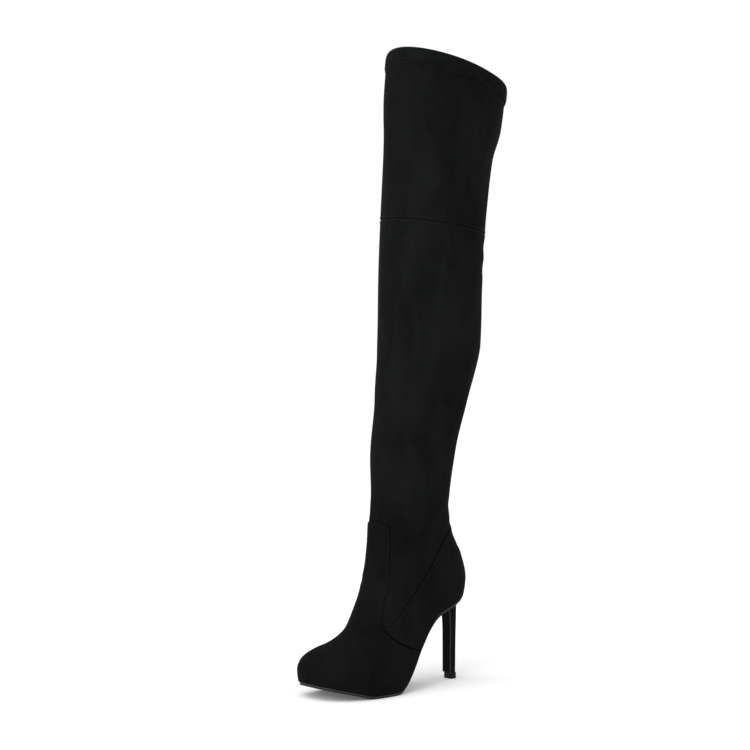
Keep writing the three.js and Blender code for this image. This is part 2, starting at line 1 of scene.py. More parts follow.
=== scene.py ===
"""A left thigh high boot in black stretch suede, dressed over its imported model.

Everything is in metres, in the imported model's frame: the floor is z 0, the toe points along -Y and the
outer side of the boot is +X. Places on the boot are given as on the part itself: down is the length from
the collar, side runs from 0 at the front to 1 or -1 at the back, positive on the outer side, and out is the
distance from the surface, square to it.
"""
import logging
import math
from dataclasses import dataclass
from enum import Enum
from functools import cache
from typing import Callable, NamedTuple, Optional, Sequence

import bmesh
import bpy
import numpy as np
from mathutils import Matrix, Vector, kdtree


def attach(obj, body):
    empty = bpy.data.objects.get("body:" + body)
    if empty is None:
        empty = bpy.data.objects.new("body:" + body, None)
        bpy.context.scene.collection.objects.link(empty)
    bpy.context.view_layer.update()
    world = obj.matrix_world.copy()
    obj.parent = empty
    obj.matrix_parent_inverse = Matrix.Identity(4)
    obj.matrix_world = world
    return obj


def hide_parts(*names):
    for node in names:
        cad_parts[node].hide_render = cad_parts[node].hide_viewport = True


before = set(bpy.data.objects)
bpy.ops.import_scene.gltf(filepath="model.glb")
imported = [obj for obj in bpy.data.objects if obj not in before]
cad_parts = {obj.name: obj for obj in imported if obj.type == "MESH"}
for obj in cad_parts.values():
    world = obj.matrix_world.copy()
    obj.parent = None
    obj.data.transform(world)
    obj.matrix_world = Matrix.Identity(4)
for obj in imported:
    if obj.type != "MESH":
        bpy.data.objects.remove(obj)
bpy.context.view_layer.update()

LOG = logging.getLogger("boot")
MM = 0.001
WELD = 0.02 * MM
FINE_WELD = 0.01 * MM
Array = np.ndarray
Curve = Callable[[Array], Array]
Color = tuple[float, float, float]
Place = tuple[float, float, float]
Tree = bpy.types.NodeTree
Node = bpy.types.Node
Socket = bpy.types.NodeSocket
Material = bpy.types.Material
Thing = bpy.types.Object


class Slot(Enum):
    """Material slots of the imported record."""

    SUEDE = "suede"
    HEM = "hem"
    SOLE = "sole"
    LINING = "lining"
    ZIP_METAL = "zip_metal"


class Body(Enum):
    """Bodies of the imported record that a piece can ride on."""

    BOOT = "boot"
    PULL = "pull"


class LegRow(NamedTuple):
    """A section of the leg: shares of the named sizes."""

    name: str
    up: float
    fore: float
    girth: str
    share: float
    slim: float
    drop: float


class FootRow(NamedTuple):
    """A section of the foot: shares of the named sizes. It ends at the back (back, down) or on the sole."""

    name: str
    fore: float
    over: float
    platform: float
    back: Optional[float]
    down: float
    sole: float
    half: float
    widest: float
    crown: float
    square: float
    pinch: float
    swing: float


class EdgeRow(NamedTuple):
    """A point of a panel's edge, at a named section or a share of the way to the next."""

    start: str
    on: float
    side: float


class VampRow(NamedTuple):
    """A row of the vamp: where it crosses the middle and where it ends, at a side or else at the sole."""

    middle: tuple[str, float]
    end: tuple[str, float]
    side: Optional[float]


LEG = (
    LegRow("collar", 1.0, 0.0225, "thigh", 0.985, 0.93, 0.35),
    LegRow("thigh", 0.9, 0.052, "thigh", 0.972, 0.93, 0.29),
    LegRow("lowThigh", 0.819, 0.082, "knee", 1.025, 0.92, 0.24),
    LegRow("knee", 0.639, 0.12, "knee", 0.985, 0.9, 0.16),
    LegRow("calf", 0.529, 0.135, "calf", 0.985, 0.88, 0.08),
    LegRow("lowCalf", 0.372, 0.147, "calf", 0.98, 0.875, 0.03),
    LegRow("shin", 0.23, 0.201, "ankle", 1.158, 0.86, 0.02),
    LegRow("lowShin", 0.1226, 0.252, "ankle", 1.06, 0.83, 0.03),
    LegRow("ankle", 0.0, 0.28, "ankle", 1.0, 0.8, 0.06),
)
FOOT = (
    FootRow("cuff", 0.506, 0.25, 0, 0.033, 0.34, 0, 0.43, 0.5, 2, 2, 1, 0),
    FootRow("counter", 0.528, 0.33, 0, -0.03, 0.54, 0, 0.412, 0.47, 1.95, 2, 1, 0),
    FootRow("bulge", 0.541, 0.4, 0, -0.066, 0.79, 0, 0.4, 0.43, 1.95, 2.1, 1, 0),
    FootRow("seatEdge", 0.555, 0.42, 0, None, 0, -0.024, 0.39, 0.4, 1.9, 2.3, 0.86, 0),
    FootRow("seat", 0.57, 0.36, 0, None, 0, 0.064, 0.375, 0.4, 1.9, 5, 0.8, 0.01),
    FootRow("breast", 0.585, 0.34, 0, None, 0, 0.171, 0.37, 0.42, 1.9, 7, 0.72, 0.025),
    FootRow("waist", 0.622, 0.4, 0, None, 0, 0.289, 0.375, 0.42, 1.9, 7, 0.82, 0.04),
    FootRow("shank", 0.672, 0.52, 0, None, 0, 0.401, 0.41, 0.38, 2, 7, 0.95, 0.05),
    FootRow("ballBack", 0.71, 0.42, 1, None, 0, 0.524, 0.47, 0.38, 2.05, 7, 0.99, 0.04),
    FootRow("ball", 0.762, 0.35, 1, None, 0, 0.65, 0.495, 0.42, 2.1, 7, 0.97, 0.01),
    FootRow("toeBox", 0.818, 0.262, 1, None, 0, 0.76, 0.465, 0.46, 2.2, 7, 0.96, -0.02),
    FootRow("toe", 0.872, 0.17, 1, None, 0, 0.838, 0.4, 0.5, 2.2, 6, 0.95, -0.045),
    FootRow("toeEnd", 0.906, 0.085, 1, None, 0, 0.88, 0.3, 0.5, 2.2, 4, 0.95, -0.06),
    FootRow("nose", 0.918, -0.02, 1, None, 0, 0.903, 0.19, 0.5, 2.1, 3, 0.97, -0.07),
    FootRow("tip", 0.923, -0.1, 1, None, 0, 0.912, 0.06, 0.5, 2, 2, 1, -0.075),
)
UNDERSIDE = (
    (-0.2, 1.12, 0.0), (-0.03, 1.0, 0.0), (0.166, 0.85, 0.0), (0.25, 0.68, 0.0), (0.32, 0.47, 0.0),
    (0.386, 0.255, 0.0), (0.452, 0.07, 0.0), (0.508, 0.0, 0.0), (0.665, 0.0, 0.0), (0.765, 0.0, 0.0242),
    (0.905, 0.0, 0.06), (1.1, 0.0, 0.115),
)
VAMP_ROWS = (
    VampRow(("cuff", 0.5), ("cuff", 0.6), 0.03), VampRow(("cuff", 0.6), ("cuff", 0.64), 0.085),
    VampRow(("cuff", 0.8), ("cuff", 0.82), 0.12), VampRow(("counter", 0.05), ("counter", 0.05), 0.137),
    VampRow(("bulge", 0.5), ("bulge", 0.5), 0.145), VampRow(("breast", 0.0), ("breast", 0.0), 0.19),
    VampRow(("breast", 0.8), ("breast", 0.77), 0.212), VampRow(("waist", 0.38), ("waist", 0.38), 0.238),
    VampRow(("waist", 0.55), ("waist", 0.53), 0.29), VampRow(("waist", 0.75), ("waist", 0.6), 0.42),
    VampRow(("shank", 0.05), ("waist", 0.5), 0.58), VampRow(("shank", 0.4), ("waist", 0.36), None),
    VampRow(("shank", 0.8), ("waist", 0.72), None), VampRow(("ballBack", 0.5), ("ballBack", 0.0), None),
    VampRow(("ball", 0.6), ("ball", 0.3), None), VampRow(("toe", 0.5), ("toe", 0.45), None),
    VampRow(("tip", 0.0), ("tip", 0.0), None),
)
COUNTER_EDGE = (
    EdgeRow("ankle", 0.45, 0.965), EdgeRow("ankle", 0.72, 0.85), EdgeRow("cuff", 0, 0.735),
    EdgeRow("cuff", 0.42, 0.64), EdgeRow("counter", 0.07, 0.56), EdgeRow("bulge", 0.22, 0.45),
    EdgeRow("seatEdge", 0.2, 0.385), EdgeRow("breast", 0.26, 0.378), EdgeRow("breast", 0.9, 0.35),
    EdgeRow("waist", 0.3, 0.315), EdgeRow("waist", 0.47, 0.27),
)
ZIP_LINE = (
    EdgeRow("calf", 0.96, -0.36), EdgeRow("shin", 0, -0.37), EdgeRow("ankle", 0, -0.41),
    EdgeRow("counter", 0.5, -0.45),
)
HEEL_ROWS = (
    (0.0, 0.0, 1.0, -0.03, 0.16, 2.6), (0.0, 0.16, 1.0, -0.0295, 0.158, 2.5),
    (0.0, 0.4, 1.0, -0.029, 0.11, 1.75),
    (0.5, 0.8, 0.9, -0.0285, 0.06, 1.25), (1.0, 1.0, 0.8, -0.028, 0.034, 1.04),
    (1.0, 1.0, 0.55, -0.0245, 0.026, 1.0), (1.0, 1.0, 0.0, -0.0212, 0.026, 0.94),
)


@dataclass(frozen=True)
class Last:
    """Driving sizes of the last and the leg, as in the part."""

    foot_length: float = 221 * MM
    ball_width: float = 88 * MM
    heel_height: float = 95 * MM
    ankle_rise: float = 115 * MM
    platform: float = 17 * MM
    leg_length: float = 489 * MM
    thigh: float = 434 * MM
    knee: float = 379 * MM
    calf: float = 377 * MM
    ankle: float = 272 * MM
    wall: float = 1.6 * MM
    overlay: float = 0.8 * MM
    outsole: float = 3 * MM
    sole_inset: float = 0.8 * MM
    tuck: float = 9 * MM
    gap: float = 0.3 * MM


def through_values(at: Sequence[float], values: Sequence[float]) -> Curve:
    """Makes a smooth curve through a table's values that never overshoots them.

    Args:
        at: Places of the values, rising.
        values: The values there.

    Returns:
        A function from an array of places to the values there.
    """
    x = np.asarray(at, float)
    y = np.asarray(values, float)
    run = np.diff(x)
    pitch = np.diff(y) / run
    slope = np.zeros_like(y)
    slope[0], slope[-1] = pitch[0], pitch[-1]
    for i in range(1, len(x) - 1):
        if pitch[i - 1] * pitch[i] > 0:
            weighed = (2 * run[i] + run[i - 1]) / pitch[i - 1] + (run[i] + 2 * run[i - 1]) / pitch[i]
            slope[i] = 3 * (run[i - 1] + run[i]) / weighed

    def curve(place: Array) -> Array:
        """Value of the curve at each place, straight on beyond its ends."""
        place = np.asarray(place, float)
        i = np.clip(np.searchsorted(x, place) - 1, 0, len(x) - 2)
        t = (place - x[i]) / run[i]
        u = 1 - t
        inside = (
            y[i] * (1 + 2 * t) * u * u + slope[i] * run[i] * t * u * u
            + y[i + 1] * (3 - 2 * t) * t * t - slope[i + 1] * run[i] * u * t * t
        )
        before = y[i] + slope[i] * (place - x[i])
        after = y[i + 1] + slope[i + 1] * (place - x[i + 1])
        return np.where(t < 0, before, np.where(t > 1, after, inside))

    return curve


def smooth_step(value: Array) -> Array:
    """0 below 0, 1 above 1 and a soft ramp between."""
    t = np.clip(value, 0, 1)
    return t * t * (3 - 2 * t)


def running(steps: Array) -> Array:
    """Running total of steps, from 0."""
    return np.concatenate([[0], np.cumsum(steps)])


def line_steps(line: Array) -> Array:
    """Distances between a line's points, each to the next."""
    return np.linalg.norm(np.diff(line, axis=0), axis=1)


def unit(arrows: Array) -> Array:
    """Directions of arrows, one a row."""
    return arrows / np.linalg.norm(arrows, axis=1, keepdims=True)


def nearest(line: Array) -> Callable[[Sequence[float]], float]:
    """Makes a function that gives a point's distance from the nearest point of a line."""
    tree = kdtree.KDTree(len(line))
    for i, point in enumerate(line):
        tree.insert(point, i)
    tree.balance()
    return lambda point: tree.find(point)[2]


class Form:
    """The boot's outer form: a fan of oval sections from the collar to the toe."""

    WALK = 144
    PITCH = 0.5 * MM
    SIDES = 480

    def __init__(self, last: Last) -> None:
        """Works the sections out from the last's sizes."""
        self.last = last
        self._names = [row.name for row in (*LEG, *FOOT)]
        fore, rise, spring = np.array(UNDERSIDE).T
        self.sole_height = through_values(
            fore * last.foot_length, rise * last.heel_height + spring * last.foot_length
        )
        stations = [self._leg_station(row) for row in LEG] + [self._foot_station(row) for row in FOOT]
        places = [0.0]
        for before, here in zip(stations, stations[1:]):
            step = {key: here[key] - before[key] for key in here}
            front = math.hypot(step["front_fore"], step["front_z"])
            back = math.hypot(step["back_fore"], step["back_z"])
            places.append(places[-1] + max((front + back) / 2, abs(step["half"])))
        self.places = np.array(places)
        self._columns = {key: through_values(places, [s[key] for s in stations]) for key in stations[0]}
        self.tip = places[-1]
        self._lay_net()

    def _lay_net(self) -> None:
        """Works out points, normals and girths on a close net, which the other methods read."""
        self._downs = np.linspace(0, self.tip, int(self.tip / self.PITCH) + 1)
        sides = np.linspace(-1, 1, self.SIDES + 1)
        row, share, across, length = self._walk(self._downs)
        goals = np.abs(sides) * length[:, -1:]
        part = np.array([np.interp(goal, run, line) for goal, run, line in zip(goals, length, share)])
        wide = np.array([np.interp(goal, run, line) for goal, run, line in zip(goals, length, across)])
        x = row["swing"] + np.sign(sides) * wide
        y = -(row["back_fore"] + part * (row["front_fore"] - row["back_fore"]))
        z = row["back_z"] + part * (row["front_z"] - row["back_z"])
        points = np.stack([x, y, z], axis=2)
        ring = points[:, :-1]
        around = np.roll(ring, -1, axis=1) - np.roll(ring, 1, axis=1)
        around = np.concatenate([around, around[:, :1]], axis=1)
        out = np.cross(np.gradient(points, axis=0), around)
        out /= np.maximum(np.linalg.norm(out, axis=2, keepdims=True), 1e-12)
        self._net = np.concatenate([points, out], axis=2)
        self._girths = length[:, -1]

    def _read(self, down: Array, side: Array) -> Array:
        """Points and normals at any place, from the net's nearest four."""
        down = np.asarray(down, float)
        if down.ndim < side.ndim:
            down = down[:, None]
        row = np.broadcast_to(down, side.shape) / self.tip * (len(self._downs) - 1)
        column = (side - 2 * np.round(side / 2) + 1) / 2 * self.SIDES
        i = np.clip(row.astype(int), 0, len(self._downs) - 2)
        j = np.clip(column.astype(int), 0, self.SIDES - 1)
        t, u = (row - i)[..., None], (column - j)[..., None]
        near = self._net[i, j] * (1 - u) + self._net[i, j + 1] * u
        far = self._net[i + 1, j] * (1 - u) + self._net[i + 1, j + 1] * u
        return near * (1 - t) + far * t

    def _leg_station(self, row: LegRow) -> dict[str, float]:
        """Sizes of a leg section from its row."""
        last = self.last
        girth = getattr(last, row.girth) * row.share
        depth = girth / (math.pi * (3 * (1 + row.slim) - math.sqrt((3 + row.slim) * (1 + 3 * row.slim))))
        middle = row.fore * last.foot_length
        height = last.heel_height + last.ankle_rise + row.up * last.leg_length
        return dict(
            front_fore=middle + depth, front_z=height + row.drop * depth, back_fore=middle - depth,
            back_z=height - row.drop * depth, half=depth * row.slim, widest=0.5, crown=2.0, square=2.0,
            pinch=1.0, swing=0.0,
        )

    def _foot_station(self, row: FootRow) -> dict[str, float]:
        """Sizes of a foot section from its row."""
        last = self.last
        if row.back is None:
            above = last.outsole + last.gap - last.tuck
            fore, z = self.beside_sole(np.array(row.sole * last.foot_length), above)
        else:
            fore = row.back * last.foot_length
            z = last.heel_height + last.ankle_rise - row.down * last.ankle_rise
        lift = row.over * last.ankle_rise + row.platform * (last.platform + last.tuck)
        return dict(
            front_fore=row.fore * last.foot_length, front_z=float(z) + lift, back_fore=float(fore),
            back_z=float(z), half=row.half * last.ball_width, widest=row.widest, crown=row.crown,
            square=row.square, pinch=row.pinch, swing=row.swing * last.ball_width,
        )

    def sole_pitch(self, fore: Array) -> Array:
        """Slope of the sole's underside."""
        step = 0.5 * MM
        return (self.sole_height(fore + step) - self.sole_height(fore - step)) / (2 * step)

    def beside_sole(self, fore: Array, above: float) -> tuple[Array, Array]:
        """Fore and height of the points a distance above the sole's underside, square to it."""
        pitch = self.sole_pitch(fore)
        size = np.hypot(1, pitch)
        return fore - above * pitch / size, self.sole_height(fore) + above / size

    def at(self, name: str, on: float = 0.0) -> float:
        """Place down the boot of a named section, or a share of the way to the next."""
        i = self._names.index(name)
        return float(self.places[i] + (on and on * (self.places[i + 1] - self.places[i])))

    def edge(self, rows: Sequence[EdgeRow]) -> tuple[Curve, float, float]:
        """A panel's edge as a curve of side over down, with its first and last place."""
        stops = [self.at(row.start, row.on) for row in rows]
        return through_values(stops, [row.side for row in rows]), stops[0], stops[-1]

    def half_girth(self, down: Array) -> Array:
        """Length of the section from front to back at each place down the boot."""
        return np.interp(down, self._downs, self._girths)

    def _walk(self, down: Array) -> tuple[dict[str, Array], Array, Array, Array]:
        """Sections at places down the boot, as even walks from front to back on the outer side."""
        row = {key: curve(down)[:, None] for key, curve in self._columns.items()}
        turn = np.linspace(0, math.pi, self.WALK + 1)[None, :]
        upper = turn < math.pi / 2
        power = 2 / np.where(upper, row["crown"], row["square"])
        reach = np.abs(np.cos(turn)) ** power
        wide = np.abs(np.sin(turn)) ** power
        share = np.where(upper, row["widest"] + (1 - row["widest"]) * reach, row["widest"] * (1 - reach))
        across = row["half"] * wide * np.where(upper, 1, 1 - (1 - row["pinch"]) * reach * reach)
        span = np.hypot(row["front_fore"] - row["back_fore"], row["front_z"] - row["back_z"])
        piece = np.hypot(np.diff(share, axis=1) * span, np.diff(across, axis=1))
        length = np.concatenate([np.zeros((len(down), 1)), np.cumsum(piece, axis=1)], axis=1)
        return row, share, across, length

    def surface(self, down: Array, side: Array) -> Array:
        """Points of the surface.

        Args:
            down: Place down the boot, one number a row or one for each point.
            side: How far round each point lies.

        Returns:
            The points, with one more axis than side.
        """
        return self._read(down, side)[..., :3]

    def normals(self, down: Array, side: Array) -> Array:
        """Directions out of the surface at the points that surface gives."""
        out = self._read(down, side)[..., 3:]
        return out / np.maximum(np.linalg.norm(out, axis=-1, keepdims=True), 1e-12)

    def beside(self, down: Array, side: Array, out: Array | float) -> Array:
        """Points moved out of the surface, square to it. out is one number or one for each point."""
        lift = np.broadcast_to(np.asarray(out, float), side.shape)[..., None]
        return self.surface(down, side) + self.normals(down, side) * lift

    def above_sole(self, points: Array) -> Array:
        """Height of points above the sole's underside, square to it."""
        fore = -points[..., 1]
        return (points[..., 2] - self.sole_height(fore)) / np.hypot(1, self.sole_pitch(fore))

    def cut(self, down: Array, above: float) -> Array:
        """How far round each section reaches before it meets a line above the sole's underside.

        Args:
            down: Places down the boot.
            above: Height of the line above the underside.

        Returns:
            A side for each place, 1 where the section doesn't meet the line.
        """
        samples = np.linspace(0, 1, 400)
        side = np.broadcast_to(samples, (len(down), len(samples)))
        height = self.above_sole(self.surface(down, side)) - above
        found = np.ones(len(down))
        for i, row in enumerate(height):
            under = np.nonzero(row < 0)[0]
            if len(under) and under[0] > 0:
                k = under[0]
                share = row[k - 1] / (row[k - 1] - row[k])
                found[i] = samples[k - 1] + (samples[k] - samples[k - 1]) * share
        return found


@dataclass(frozen=True)
class Fold:
    """A soft trough between two ridges, from one place on the boot to another.

    Attributes:
        start: down in metres and side of one end.
        end: The same for the other end.
        width: Half width of the trough.
        depth: Its depth.
        bow: How far its middle is bent down the boot.
    """

    start: tuple[float, float]
    end: tuple[float, float]
    width: float
    depth: float
    bow: float = 0.0
    FADE = 0.3
    RIDGE = 0.45
    RIDGE_AT = 1.9
    RIDGE_WIDTH = 1.2

    def lift(self, down: Array, side: Array, half_girth: Array) -> Array:
        """Height that the fold adds.

        Args:
            down: Places down the boot.
            side: Places round it.
            half_girth: Length of the sections there, from front to back.

        Returns:
            A height for each place.
        """
        middle = (self.start[1] + self.end[1]) / 2
        turned = side - 2 * np.round((side - middle) / 2)
        reach = (self.end[1] - self.start[1]) * float(half_girth.mean())
        ahead = np.array([self.end[0] - self.start[0], reach])
        length = float(np.hypot(*ahead))
        way = ahead / length
        a = down - self.start[0]
        b = (turned - self.start[1]) * half_girth
        along = (a * way[0] + b * way[1]) / length
        bent = self.bow * 4 * along * (1 - along)
        across = (-a * way[1] + b * way[0] + bent * abs(way[1])) / self.width
        window = smooth_step(along / self.FADE) * smooth_step((1 - along) / self.FADE)
        ridge = self.RIDGE * np.exp(-((np.abs(across) - self.RIDGE_AT) ** 2) / self.RIDGE_WIDTH)
        return self.depth * window * (ridge - np.exp(-across**2))


class Drape:
    """The creases of the stretch suede, placed one by one."""

    def __init__(self, form: Form) -> None:
        """Places the folds from the form's sections."""
        at = form.at
        self.form = form
        self.folds = (
            # Front of the ankle, where the leg meets the tongue.
            Fold((at("ankle", 0.15), -0.06), (at("ankle", 0.45), 0.42), 5 * MM, 0.5 * MM, 4 * MM),
            Fold((at("cuff", 0.0), 0.02), (at("cuff", 0.1), 0.52), 4.5 * MM, 0.6 * MM, 5 * MM),
            Fold((at("cuff", 0.5), 0.16), (at("cuff", 0.2), 0.66), 4 * MM, 0.5 * MM, -3 * MM),
            Fold((at("ankle", 0.7), -0.6), (at("cuff", 0.2), -0.12), 4.5 * MM, 0.6 * MM, 4 * MM),
            # Back of the ankle, above the counter.
            Fold((at("ankle", 0.1), 0.56), (at("ankle", 0.3), 1.38), 4.5 * MM, 0.35 * MM, -4 * MM),
            Fold((at("ankle", 0.85), 0.58), (at("cuff", 0.05), 1.4), 4 * MM, 0.45 * MM, -4 * MM),
            Fold((at("cuff", 0.72), 0.62), (at("counter", 0.1), 1.3), 3.5 * MM, 0.4 * MM, -3 * MM),
            # Back of the knee, under the seam.
            Fold((at("knee", 0.25), 0.6), (at("knee", 0.1), 1.36), 7 * MM, 0.5 * MM, 6 * MM),
            Fold((at("knee", 0.75), 0.56), (at("knee", 0.55), 1.42), 7 * MM, 0.5 * MM, 7 * MM),
            # Long soft pulls down the calf and the shin.
            Fold((at("knee", 0.35), 0.32), (at("shin", 0.2), 0.22), 11 * MM, 0.6 * MM),
            Fold((at("calf", 0.3), 0.56), (at("shin", 0.8), 0.46), 12 * MM, 0.5 * MM),
            # Gentle swells over the Achilles line, the front of the shin and the instep.
            Fold((at("lowCalf", 0.2), 0.77), (at("cuff", 0.3), 0.78), 22 * MM, -2.0 * MM),
            Fold((at("lowCalf", 0.2), -0.2), (at("lowShin", 0.9), -0.2), 20 * MM, -2.6 * MM),
            Fold((at("counter", 0.8), -0.07), (at("ballBack", 0.4), -0.12), 15 * MM, -2.0 * MM),
            # Small wrinkles at the top of the tongue.
            Fold((at("counter", 0.1), -0.03), (at("counter", 0.25), 0.15), 2.4 * MM, 0.35 * MM),
            Fold((at("counter", 0.55), 0.0), (at("counter", 0.35), 0.17), 2.2 * MM, 0.3 * MM),
            # Soft pulls down the inner side and beside the shin.
            Fold((at("calf", 0.1), -0.2), (at("shin", 0.9), -0.16), 10 * MM, 0.5 * MM),
            Fold((at("shin", 0.4), 0.14), (at("ankle", -0.2), 0.2), 8 * MM, 0.6 * MM),
            # Slack of the thigh panel between the band and the knee seam.
            Fold((at("collar", 0.7), 0.35), (at("knee", -0.3), 0.45), 13 * MM, 0.8 * MM),
            Fold((at("collar", 0.8), 0.72), (at("knee", -0.2), 0.66), 12 * MM, 0.6 * MM),
            Fold((at("collar", 0.75), -0.3), (at("knee", -0.25), -0.42), 13 * MM, 0.7 * MM),
            # Break of the instep.
            Fold((at("seatEdge", 0.3), -0.2), (at("seat", 0.4), 0.24), 6 * MM, 0.4 * MM, 4 * MM),
        )

    def lift(self, down: Array, side: Array) -> Array:
        """Height of the creases at each point, with down one number a row or one for each point."""
        down = np.asarray(down, float)
        rows = down[:, None] if down.ndim < side.ndim else down
        girth = np.broadcast_to(self.form.half_girth(rows), side.shape)
        total = sum(fold.lift(rows, side, girth) for fold in self.folds)
        slow = np.sin(rows / (41 * MM) + 5 * side) * np.sin(3 * math.pi * side + rows / (97 * MM))
        return total + 0.25 * MM * slow


def walk(stops: Sequence[float], pitches: Sequence[float]) -> Array:
    """Places from the first stop to the last, with their own pitch between each two stops."""
    parts = [
        np.linspace(a, b, max(2, int(round((b - a) / pitch)) + 1))[:-1]
        for a, b, pitch in zip(stops, stops[1:], pitches)
    ]
    return np.append(np.concatenate(parts), stops[-1])


def crowded(count: int, near: Sequence[float]) -> Array:
    """Shares from 0 to 1 for columns, evenly spread with more columns near both ends.

    Args:
        count: Number of even steps.
        near: Extra shares close to an end, measured from it.

    Returns:
        The shares, rising.
    """
    even = np.linspace(0, 1, count + 1)[1:-1]
    even = even[(even > 1.5 * near[-1]) & (even < 1 - 1.5 * near[-1])]
    ends = np.array([0.0, *near])
    return np.concatenate([ends, even, (1 - ends)[::-1]])


def grid_faces(rows: int, columns: int) -> Array:
    """Corner numbers of the quads of a grid of points."""
    a = (np.arange(rows - 1)[:, None] * columns + np.arange(columns - 1)[None, :]).ravel()
    return np.stack([a, a + 1, a + columns + 1, a + columns], axis=1)


def add_object(name: str, data: bpy.types.ID) -> Thing:
    """Makes an object of its data and links it to the scene."""
    thing = bpy.data.objects.new(name, data)
    bpy.context.scene.collection.objects.link(thing)
    return thing


def smooth_object(name: str, mesh: bpy.types.Mesh, material: Material) -> Thing:
    """Makes a smooth object of a mesh.

    Args:
        name: Name of the object.
        mesh: Its mesh.
        material: Its finish.

    Returns:
        The object, linked to the scene.
    """
    mesh.polygons.foreach_set("use_smooth", [True] * len(mesh.polygons))
    mesh.materials.append(material)
    mesh.update()
    return add_object(name, mesh)


def make_mesh(name: str, points: Array, faces: Array, material: Material, weld: float = 0.0) -> Thing:
    """Makes a smooth mesh object.

    Args:
        name: Name of the object.
        points: Its vertices, in metres.
        faces: Corner numbers, 3 or 4 a face.
        material: Its finish.
        weld: Vertices nearer than this are joined, if it is over 0.

    Returns:
        The object, linked to the scene.
    """
    mesh = bpy.data.meshes.new(name)
    mesh.from_pydata(points.reshape(-1, 3).tolist(), [], faces.tolist())
    if weld > 0:
        kit = bmesh.new()
        kit.from_mesh(mesh)
        bmesh.ops.remove_doubles(kit, verts=kit.verts, dist=weld)
        kit.to_mesh(mesh)
        kit.free()
    return smooth_object(name, mesh, material)


def place_piece(thing: Thing, slot: Slot, body: Body = Body.BOOT, stands_for: Sequence[str] = ()) -> Thing:
    """Lets a piece ride on a body and stand for CAD nodes, and reports it.

    Args:
        thing: The piece.
        slot: Not used.
        body: Body that it rides on.
        stands_for: Names of the CAD nodes that it replaces.

    Returns:
        The piece.
    """
    if stands_for:
        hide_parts(*stands_for)
    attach(thing, body.value)
    LOG.info("%s: %d faces", thing.name, len(thing.data.polygons))
    return thing


# Materials

def feed(tree: Tree, node: Node, inputs: dict) -> None:
    """Sets a node's inputs, given by name or number: a socket is linked, anything else is the value."""
    for place, given in inputs.items():
        if isinstance(given, Socket):
            tree.links.new(given, node.inputs[place])
        else:
            node.inputs[place].default_value = given


def add_node(tree: Tree, kind: str, inputs: Optional[dict] = None, **settings: object) -> Node:
    """Adds a node.

    Args:
        tree: Tree that gets the node.
        kind: Blender's name of the node's type.
        inputs: What its inputs get, as in feed.
        **settings: Properties of the node.

    Returns:
        The node.
    """
    node = tree.nodes.new(kind)
    for name, value in settings.items():
        setattr(node, name, value)
    feed(tree, node, inputs or {})
    return node


def calculate(tree: Tree, operation: str, *values: float | Socket) -> Socket:
    """Works numbers or sockets out to one value, and gives its socket."""
    return add_node(tree, "ShaderNodeMath", dict(enumerate(values)), operation=operation).outputs[0]


def map_range(
    tree: Tree, value: Socket, start: tuple[float, float] = (0.0, 1.0),
    goal: tuple[float, float] = (0.0, 1.0), kind: str = "LINEAR",
) -> Socket:
    """Carries a socket's value from one range over to another, and gives the socket of the result."""
    inputs = dict(zip(("From Min", "From Max", "To Min", "To Max"), (*start, *goal)), Value=value)
    return add_node(tree, "ShaderNodeMapRange", inputs, interpolation_type=kind).outputs[0]


def noise(
    tree: Tree, place: Socket, scale: float | Socket, detail: float, rough: float = 0.5, bend: float = 0.0
) -> Socket:
    """Adds a noise over the places that a socket gives, and gives the socket of its value."""
    inputs = {"Vector": place, "Scale": scale, "Detail": detail, "Roughness": rough, "Distortion": bend}
    return add_node(tree, "ShaderNodeTexNoise", inputs).outputs["Fac"]


def waves(tree: Tree, way: str, scale: float, bend: float) -> Socket:
    """Adds even waves over the object, and gives the socket of their height."""
    place = add_node(tree, "ShaderNodeTexCoord").outputs["Object"]
    inputs = {"Vector": place, "Scale": scale, "Distortion": bend}
    return add_node(tree, "ShaderNodeTexWave", inputs, bands_direction=way).outputs["Fac"]


def mix_colors(tree: Tree, share: Socket, low: Color, high: Color) -> Socket:
    """Mixes two colours by a share that changes over the surface, and gives the socket of the result."""
    inputs = {0: share, 6: (*low, 1), 7: (*high, 1)}
    return add_node(tree, "ShaderNodeMix", inputs, data_type="RGBA").outputs[2]


def start_group(name: str, inputs: dict[str, float], outputs: Sequence[str]) -> tuple[Tree, Node, Socket]:
    """Starts a shader node group of plain numbers.

    Args:
        name: Name of the group.
        inputs: Names of its inputs with their usual values.
        outputs: Names of its outputs.

    Returns:
        The group, the node that holds its inputs, and the socket of the place on the object.
    """
    tree = bpy.data.node_groups.new(name, "ShaderNodeTree")
    for key, value in inputs.items():
        socket = tree.interface.new_socket(name=key, in_out="INPUT", socket_type="NodeSocketFloat")
        socket.default_value = value
    for key in outputs:
        tree.interface.new_socket(name=key, in_out="OUTPUT", socket_type="NodeSocketFloat")
    return tree, add_node(tree, "NodeGroupInput"), add_node(tree, "ShaderNodeTexCoord").outputs["Object"]


